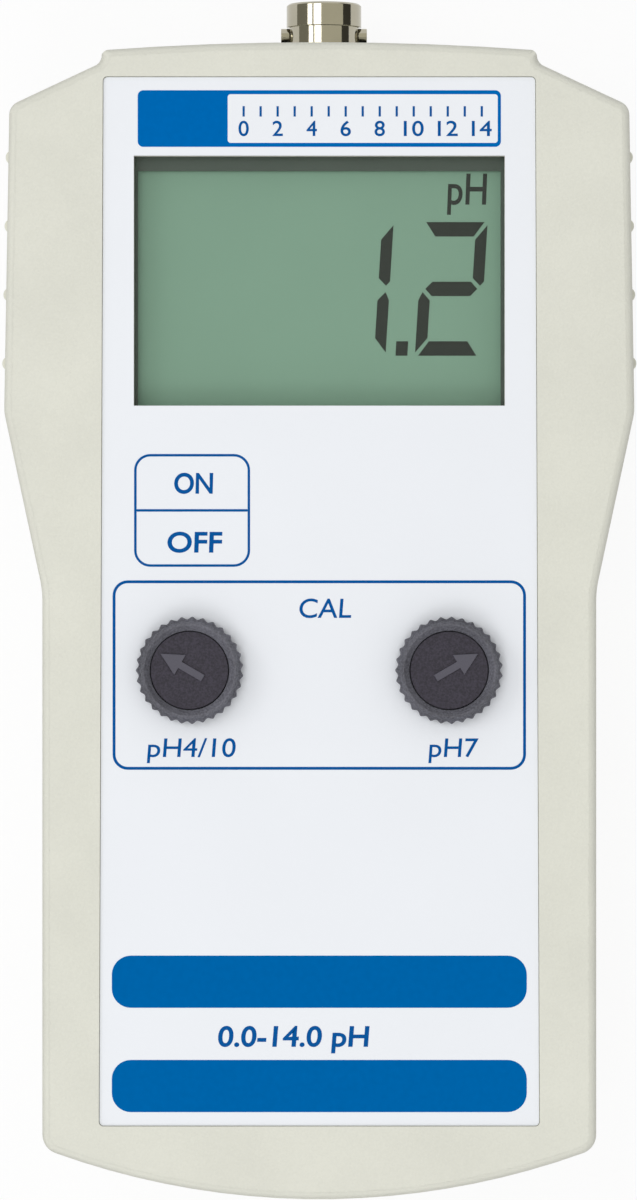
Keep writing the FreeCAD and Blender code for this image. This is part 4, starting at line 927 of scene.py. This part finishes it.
class METER_OT_display(PieceOperator):
    """Set the digits, and finish the display's frame, glass and window."""

    bl_idname = "meter.display"
    bl_label = "Display"

    # digit cells, measured from the window's lower edge and its right edge
    DIGIT_FOOT = 6.4 * MM
    DIGIT_HIGH = 16.85 * MM
    DIGIT_WIDE = 8.15 * MM
    DIGIT_PITCH = 11.85 * MM
    DIGIT_RIGHT = 3.1 * MM
    ACROSS = 1.82 * MM
    UPRIGHT = 1.45 * MM
    SPLIT = 0.4 * MM
    # an upright bar's point lies this many splits inside its outer side
    TIP_INSET = 1.2
    # where an upright bar's outer side, point and inner side end, from the digit's middle
    UPPER_ENDS = mm(0.95, 0.4, 1.35)
    LOWER_ENDS = mm(1.45, 0.4, 1.45)
    POINT_GAP = 0.95 * MM
    SLANT = math.tan(math.radians(3.5))
    POINT = 1.5 * MM
    LENS_BORDER = 1.7 * MM
    THICK = 0.02 * MM
    # the unit's left end from the right digit's right side, baseline from the digits' foot, cap height,
    # width, lean and weight
    UNIT = (*mm(-4.1, 19.05, 3.9, 5.07), 0.05, 0.012)
    SEGMENTS = {
        "0": "abcdef", "1": "bc", "2": "abged", "3": "abgcd", "4": "fgbc", "5": "afgcd", "6": "afgedc",
        "7": "abc", "8": "abcdefg", "9": "abfgcd", "-": "g", " ": "",
    }

    def digit(self, lit, right, foot):
        """The outlines of a digit's lit bars, before their slant. Bars meet at mitres, a split apart."""
        wide, high, across, upright, split = (
            self.DIGIT_WIDE, self.DIGIT_HIGH, self.ACROSS, self.UPRIGHT, self.SPLIT
        )
        left, middle, head, half = right - wide, foot + high / 2, foot + high, across / 2
        inner_left, inner_right = left + upright + split / 2, right - upright - split / 2
        bars = {
            "a": [(left + split, head), (right - split, head), (inner_right, head - across),
                  (inner_left, head - across)],
            "d": [(left + split, foot), (inner_left, foot + across), (inner_right, foot + across),
                  (right - split, foot)],
            "g": [(left + 2 * split, middle), (inner_left, middle + half), (inner_right, middle + half),
                  (right - 2 * split, middle), (inner_right, middle - half), (inner_left, middle - half)],
        }
        uprights = (
            ("b", right, -1, head, 1, self.UPPER_ENDS), ("f", left, 1, head, 1, self.UPPER_ENDS),
            ("c", right, -1, foot, -1, self.LOWER_ENDS), ("e", left, 1, foot, -1, self.LOWER_ENDS),
        )
        for name, side, inward, end, up, (outer, tip, inner) in uprights:
            bars[name] = [
                (side, end - up * split),
                (side, middle + up * outer),
                (side + inward * split * self.TIP_INSET, middle + up * tip),
                (side + inward * upright, middle + up * inner),
                (side + inward * upright, end - up * (across + split)),
            ]
        return [bars[name] for name in lit]

    def outlines(self, reading, right, foot):
        """All lit bars and points of a reading, slanted."""
        found = []
        for mark in reversed(reading):
            if mark == ".":
                point_right = right + self.DIGIT_PITCH - self.DIGIT_WIDE - self.POINT_GAP
                point_left, head = point_right - self.POINT, foot + self.ACROSS
                found.append(
                    [(point_left, foot), (point_right, foot), (point_right, head), (point_left, head)]
                )
                continue
            found += self.digit(self.SEGMENTS[mark], right, foot)
            right -= self.DIGIT_PITCH
        return [[(x + (y - foot) * self.SLANT, y) for x, y in outline] for outline in found]

    def make(self, scene):
        settings = scene.meter_display
        lens_low, lens_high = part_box("display_lens")
        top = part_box("front_polariser")[1].z
        foot = lens_low.y + self.LENS_BORDER + self.DIGIT_FOOT
        right = lens_high.x - self.LENS_BORDER - self.DIGIT_RIGHT
        bars = slab_mesh("bars", self.outlines(settings.reading, right, foot), top, self.THICK)
        x, rise, cap, wide, lean, weight = self.UNIT
        unit = lettering(settings.unit, right + x, foot + rise, cap, wide, top, self.THICK, lean, weight)
        segment = moulded("display_segment", settings.segment, 0.45, 0.1 * MM, 0.001 * MM, gloss=0.2)
        printed("display_segments", segment, bars, unit, slot="display_glass")

        painted(glass_ground_finish(settings), "front_polariser")
        # the frame's colour holds painted shade of the window's edge as well as the frame's own dark
        # plastic
        painted(moulded("frame_plastic", settings.surround, 0.4, 0.2 * MM, 0.006 * MM), "display_frame")
        painted(lens_finish(), "display_lens")
        painted(plated("rear_reflector", srgb(188, 196, 186), 0.4), "rear_polariser")
        glass = moulded("display_glass", srgb(150, 172, 160), 0.08, 3 * MM, 0.0002 * MM)
        painted(glass, "front_glass", "rear_glass")
        strip = Finish("strip_rubber", srgb(196, 170, 150), 0.6)
        layers = strip.node(
            "ShaderNodeTexWave", {"Vector": strip.place, "Scale": 1 / (1.2 * MM), "Distortion": 0.0}, "Fac",
            wave_type="BANDS", bands_direction="X",
        )
        strip.feed("Base Color", strip.mixed(layers, (0.03, 0.03, 0.03, 1.0), strip.shade(1.0)))
        painted(strip.material, "contact_strip")


class METER_OT_knobs(PieceOperator):
    """Finish the two calibration knobs and their caps."""

    bl_idname = "meter.knobs"
    bl_label = "Calibration knobs"

    # radius, depth below the rim, and share of a tooth's depth, from the spindle's foot to the recess
    PROFILE = (
        (0.0, 11.0, 0.0), (1.92, 11.0, 0.0), (1.92, 6.6, 0.0), (2.58, 6.6, 0.0), (2.58, 3.0, 0.0),
        (6.5, 3.0, 1.0), (6.74, 2.85, 1.0), (6.74, 1.4, 1.0), (6.66, 1.2, 1.0), (6.3, 1.0, 0.6),
        (6.22, 0.85, 0.5), (6.16, 0.3, 0.5), (6.0, 0.08, 0.4), (5.85, 0.0, 0.1), (5.65, 0.0, 0.0),
        (5.54, 0.08, 0.0), (4.98, 0.64, 0.0), (4.95, 1.54, 0.0), (0.0, 1.54, 0.0),
    )
    # points to a tooth, and how narrow the gaps between teeth are
    STEPS = 10
    GAP_POWER = 1.6

    def toothed(self, knob, settings):
        """A knob as a closed turned shape whose outside carries rounded teeth in two steps."""
        _, high, middle = box_of(knob)
        build = bmesh.new()
        count = settings.teeth * self.STEPS
        rings = []
        for radius, depth, share in self.PROFILE:
            z = high.z - depth * MM
            if radius == 0.0:
                rings.append([build.verts.new((middle.x, middle.y, z))])
                continue
            ring = []
            for step in range(count):
                turn = math.tau * step / count
                gap = abs(math.cos(turn * settings.teeth / 2)) ** self.GAP_POWER
                reach = radius * MM - settings.tooth * share * gap
                spot = (middle.x + reach * math.cos(turn), middle.y + reach * math.sin(turn), z)
                ring.append(build.verts.new(spot))
            rings.append(ring)
        for inner, outer in zip(rings, rings[1:]):
            walled(build, inner, outer)
        for face in build.faces:
            face.smooth = True
        mesh = baked(build, "toothed_knob", closed=True)
        mesh.set_sharp_from_angle(angle=math.radians(35))
        return mesh

    def make(self, scene):
        settings = scene.meter_knob
        grip = moulded("knob_plastic", settings.grip, 0.45, 0.24 * MM, 0.05 * MM, mottle=0.5, gloss=0.3)
        for name in ("ph4", "ph7"):
            knob = f"{name}_knob"
            mesh = self.toothed(knob, settings)
            mesh.materials.append(grip)
            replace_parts(seated(mesh, f"{knob}_finished", body_of(knob)), knob)
            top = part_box(f"{name}_knob_cap")[1].z
            cap = Finish(f"{name}_cap_plastic", settings.cap, 0.5).set("Specular IOR Level", 0.3)
            fine = cap.noise(0.24 * MM, 3.0)
            height = cap.along("Z")
            raised = cap.between(height, 0.0, 1.0, top - 0.12 * MM, top - 0.06 * MM)
            ground = cap.mixed(cap.between(fine, 0.0, 1.0, 0.35, 0.65), cap.shade(0.7), cap.shade(1.4))
            cap.feed("Base Color", cap.mixed(raised, ground, (*settings.arrow, 1.0)))
            cap.dulled(cap.noise(1.2 * MM), 0.42, 0.56, 0.3, 0.7)
            cap.bumped(fine, 0.04 * MM)
            softened(f"{name}_knob_cap", cap.material, 0.05 * MM)


class METER_OT_socket(PieceOperator):
    """Finish the probe socket."""

    bl_idname = "meter.socket"
    bl_label = "Probe socket"

    def make(self, scene):
        settings = scene.meter_socket
        nickel = plated("nickel_plate", settings.metal, 0.06, brush=(0.3, 1.5, 0.3))
        softened("socket_barrel", nickel, settings.edge, segments=3, angle=28)
        insulator = moulded("insulator_plastic", settings.insulator, 0.4, 0.15 * MM, 0.004 * MM)
        painted(insulator, "socket_insulator")
        painted(plated("contact_gilding", srgb(226, 190, 110), 0.2), "socket_contact")
        painted(moulded("housing_plastic", srgb(30, 30, 32), 0.42), "socket_housing")
        painted(plated("pin_tin", srgb(200, 200, 196), 0.3), "socket_pin")


class METER_OT_electronics(PieceOperator):
    """Finish the circuit board and what is soldered to it."""

    bl_idname = "meter.electronics"
    bl_label = "Circuit board"

    # the colour rings round a resistor, from its left end
    BANDS = ((120, 60, 20), (20, 20, 20), (200, 40, 30), (190, 150, 50))
    BAND_START, BAND_PITCH, BAND_WIDE, BAND_FADE = mm(1.0, 1.05, 0.5, 0.03)
    # the pale stripe along a capacitor's sleeve
    STRIPE_START, STRIPE_STOP = mm(0.4, 0.6)

    def make(self, scene):
        board = Finish("solder_mask", srgb(20, 92, 58), 0.35)
        weave = board.node(
            "ShaderNodeTexBrick",
            {"Vector": board.place, "Scale": 1 / (4 * MM), "Mortar Size": 0.06, "Color1": (1, 1, 1, 1),
             "Color2": (0.8, 0.8, 0.8, 1), "Mortar": (0, 0, 0, 1)},
            "Color",
        )
        traces = board.node("ShaderNodeRGBToBW", {"Color": weave}, "Val")
        board.shaded(traces, 1.5, 0.9)
        board.bumped(traces, -0.02 * MM)
        painted(board.material, "main_board")
        epoxy = moulded("chip_epoxy", srgb(34, 34, 36), 0.5, 0.15 * MM, 0.008 * MM)
        painted(epoxy, "display_driver", "amplifier_1", "amplifier_2")
        painted(moulded("switch_case", srgb(58, 58, 60), 0.45), "switch_housing")
        housing = moulded("trimmer_case", srgb(36, 62, 120), 0.4)
        painted(housing, "ph4_trimmer_housing", "ph7_trimmer_housing")
        painted(moulded("rotor_plastic", srgb(226, 222, 206), 0.45), "ph4_rotor", "ph7_rotor")
        for number in (1, 2, 3):
            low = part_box(f"capacitor_{number}")[0]
            sleeve = Finish(f"capacitor_sleeve_{number}", srgb(28, 40, 86), 0.3)
            height = sleeve.along("X")
            stripe = sleeve.between(height, 1.0, 0.0, low.x + self.STRIPE_START, low.x + self.STRIPE_STOP)
            sleeve.feed("Base Color", sleeve.mixed(stripe, sleeve.colour, (0.6, 0.6, 0.62, 1.0)))
            sleeve.dulled(sleeve.noise(2 * MM), 0.25, 0.4)
            softened(f"capacitor_{number}", sleeve.material, 0.3 * MM)
        for number in (1, 2, 3, 4):
            node = f"resistor_{number}"
            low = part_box(node)[0]
            coat = Finish(f"resistor_coat_{number}", srgb(206, 184, 140), 0.4)
            along = coat.along("X")
            shown = coat.colour
            for place, band in enumerate(self.BANDS):
                start = low.x + self.BAND_START + place * self.BAND_PITCH
                stop = start + self.BAND_WIDE
                rise = coat.between(along, 0, 1, start, start + self.BAND_FADE)
                fall = coat.between(along, 1, 0, stop, stop + self.BAND_FADE)
                share = coat.math("MULTIPLY", rise, fall)
                shown = coat.mixed(share, shown, (*srgb(*band), 1.0))
            coat.feed("Base Color", shown)
            coat.dulled(coat.noise(1 * MM), 0.35, 0.5)
            softened(node, coat.material, 0.35 * MM)


class METER_OT_battery(PieceOperator):
    """Finish the battery, its snap and its leads."""

    bl_idname = "meter.battery"
    bl_label = "Battery"

    # the share of the jacket's length, from its foot, that is dark
    DARK = 0.68

    def make(self, scene):
        low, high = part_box("battery_jacket")
        jacket = Finish("printed_jacket", srgb(36, 38, 42), 0.3, metallic=0.3)
        height = jacket.along("Y")
        split = low.y + (high.y - low.y) * self.DARK
        upper = jacket.between(height, 0.0, 1.0, split, split + 0.1 * MM)
        marks = jacket.noise(0.6 * MM, 3.0, jacket.stretched(1.0, 0.1, 1.0))
        dark = jacket.mixed(marks, jacket.shade(0.85), jacket.shade(1.2))
        jacket.feed("Base Color", jacket.mixed(upper, dark, (*srgb(184, 112, 62), 1.0)))
        jacket.dulled(marks, 0.24, 0.4)
        softened("battery_jacket", jacket.material, 0.2 * MM)
        painted(moulded("cell_wrap", srgb(190, 188, 180), 0.5), "battery_cells")
        painted(moulded("plate_card", srgb(44, 44, 46), 0.5), "battery_base_plate", "battery_top_plate")
        painted(plated("terminal_nickel", srgb(206, 204, 196), 0.25), "battery_stud", "battery_cup")
        vinyl = moulded("snap_vinyl", srgb(30, 30, 32), 0.5, 0.4 * MM)
        softened("battery_snap", vinyl, 0.5 * MM, 3)
        painted(moulded("red_sleeve", srgb(176, 30, 28), 0.4, 0.5 * MM), "positive_lead")
        painted(moulded("black_sleeve", srgb(26, 26, 28), 0.4, 0.5 * MM), "negative_lead")


class METER_OT_stage(PieceOperator):
    """Set the floor, the lamps, the even light and the camera."""

    bl_idname = "meter.stage"
    bl_label = "Stage"

    FLOOR_HALF = 1.5
    FLOOR_DROP = 0.05 * MM
    FLOOR_PALE = 0.9
    FLOOR_ROUGH = 0.9
    # the share of what the camera sees of the floor that glows by itself
    FLOOR_GLOW = 0.9
    SENSOR = 36.0
    # the camera's place over the front
    VIEW = mm(-0.1, 2.6)
    # place, width and height, and the setting that gives each its strength
    LAMPS = {
        "key_lamp_high": ((-0.37, 0.24, 1.1), (0.36, 0.4), "key_light"),
        "key_lamp_low": ((-0.88, 0.24, 0.84), (0.38, 0.4), "key_light"),
        "fill_lamp": ((-0.14, -0.5, 0.7), (0.3, 0.3), "fill_light"),
    }
    # place, width and height, and brightness of the boards that show in the metal
    CARDS = {
        "dark_card": ((0.62, 0.3, 0.09), (0.5, 1.4), 0.07),
        "dim_card": ((-0.62, 0.3, 0.16), (0.6, 1.4), 0.3),
        "grey_card": ((0.37, 0.3, 0.67), (1.15, 1.4), 0.75),
    }
    CARD_TINT = (1.0, 0.98, 0.85)

    def make(self, scene):
        settings = scene.meter_stage
        self.floor(CAD_BOX[0][2] - self.FLOOR_DROP)
        for name, (place, size, power) in self.LAMPS.items():
            self.lamp(name, place, size, getattr(settings, power))
        for name, (place, size, level) in self.CARDS.items():
            self.card(name, place, size, level)
        scene.world = bpy.data.worlds.new("even_light")
        scene.world.use_nodes = True
        wiring = Wiring(scene.world.node_tree)
        ground = wiring.tree.nodes["Background"].inputs
        ground["Color"].default_value = (1.0, 1.0, 1.0, 1.0)
        inputs = {"Value": self.seen_directly(wiring), "To Min": settings.sky, "To Max": 1.0}
        wiring.tree.links.new(wiring.node("ShaderNodeMapRange", inputs), ground["Strength"])

        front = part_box("front_shell")[1].z
        camera = bpy.data.cameras.new("camera")
        camera.sensor_width = self.SENSOR
        camera.lens = self.SENSOR * settings.distance / settings.covered
        camera.clip_start = 0.01
        camera.clip_end = 10.0
        scene.camera = linked("camera", camera)
        scene.camera.location = (*self.VIEW, front + settings.distance)
        scene.view_settings.view_transform = "Standard"

    def floor(self, height):
        """A pale floor that shows white, and still keeps the meter's shadow."""
        size = (2 * self.FLOOR_HALF, 2 * self.FLOOR_HALF)
        floor, wiring = self.board("floor", "pale_floor", size, height)
        shader = wiring.tree.nodes["Principled BSDF"]
        shader.inputs["Base Color"].default_value = (*[self.FLOOR_PALE] * 3, 1.0)
        shader.inputs["Roughness"].default_value = self.FLOOR_ROUGH
        share = wiring.math("MULTIPLY", self.seen_directly(wiring), self.FLOOR_GLOW)
        glow = wiring.node("ShaderNodeEmission", {"Strength": 1.0})
        self.shown(wiring, wiring.node("ShaderNodeMixShader", {0: share, 1: shader.outputs[0], 2: glow}))

    def board(self, name, finish, size, height=0.0):
        """A flat rectangle with a material of its own, and that material's nodes."""
        x, y = size[0] / 2, size[1] / 2
        mesh = bpy.data.meshes.new(name)
        corners = [(-x, -y, height), (x, -y, height), (x, y, height), (-x, y, height)]
        mesh.from_pydata(corners, [], [(0, 1, 2, 3)])
        material = bpy.data.materials.new(finish)
        material.use_nodes = True
        mesh.materials.append(material)
        return linked(name, mesh), Wiring(material.node_tree)

    def seen_directly(self, wiring):
        """1 for what the camera sees, also in metal and through glass, and 0 for light on surfaces."""
        path = wiring.tree.nodes.new("ShaderNodeLightPath").outputs
        share = path["Is Camera Ray"]
        for name in ("Is Glossy Ray", "Is Transmission Ray"):
            share = wiring.math("MAXIMUM", share, path[name])
        return share

    def shown(self, wiring, shader):
        wiring.tree.links.new(shader, wiring.tree.nodes["Material Output"].inputs["Surface"])

    def card(self, name, place, size, level):
        """A board beside the meter that only shows in its metal."""
        board, wiring = self.board(name, name, size)
        board.location = place
        board.rotation_euler = (0, math.atan2(place[0], place[2]) + math.pi, 0)
        colour = (*[level * share for share in self.CARD_TINT], 1.0)
        self.shown(wiring, wiring.node("ShaderNodeEmission", {"Color": colour}))
        for unseen in ("visible_camera", "visible_diffuse", "visible_transmission", "visible_shadow"):
            setattr(board, unseen, False)

    def lamp(self, name, place, size, power):
        """A soft lamp that faces the meter."""
        light = bpy.data.lights.new(name, "AREA")
        light.shape = "RECTANGLE"
        light.size, light.size_y = size
        light.energy = power
        lamp = linked(name, light)
        lamp.location = place
        lamp.rotation_euler = (-Vector(place)).to_track_quat("-Z", "Y").to_euler()


# ---- panel and registration ---------------------------------------------------------------------------

OPERATORS = (
    METER_OT_case, METER_OT_film, METER_OT_key, METER_OT_display, METER_OT_knobs, METER_OT_socket,
    METER_OT_screws, METER_OT_electronics, METER_OT_battery, METER_OT_stage,
)
SETTINGS = {
    "meter_case": CaseSettings,
    "meter_film": FilmSettings,
    "meter_display": DisplaySettings,
    "meter_knob": KnobSettings,
    "meter_socket": SocketSettings,
    "meter_fastener": FastenerSettings,
    "meter_stage": StageSettings,
}


class METER_PT_panel(bpy.types.Panel):
    """Lists the meter's pieces and their settings."""

    bl_label = "pH Meter"
    bl_idname = "METER_PT_panel"
    bl_space_type = "VIEW_3D"
    bl_region_type = "UI"
    bl_category = "pH Meter"

    def draw(self, context):
        for name in SETTINGS:
            group = getattr(context.scene, name)
            box = self.layout.box()
            for setting in group.bl_rna.properties.keys():
                if setting not in ("rna_type", "name"):
                    box.prop(group, setting)
        for operator in OPERATORS:
            self.layout.operator(operator.bl_idname)


def register():
    for group in SETTINGS.values():
        bpy.utils.register_class(group)
    for name, group in SETTINGS.items():
        setattr(bpy.types.Scene, name, PointerProperty(type=group))
    for operator in OPERATORS:
        bpy.utils.register_class(operator)
    bpy.utils.register_class(METER_PT_panel)


def unregister():
    bpy.utils.unregister_class(METER_PT_panel)
    for operator in reversed(OPERATORS):
        bpy.utils.unregister_class(operator)
    for name in SETTINGS:
        delattr(bpy.types.Scene, name)
    for group in SETTINGS.values():
        bpy.utils.unregister_class(group)


def main():
    register()
    for operator in OPERATORS:
        family, name = operator.bl_idname.split(".")
        getattr(getattr(bpy.ops, family), name)()


if __name__ == "__main__":
    main()
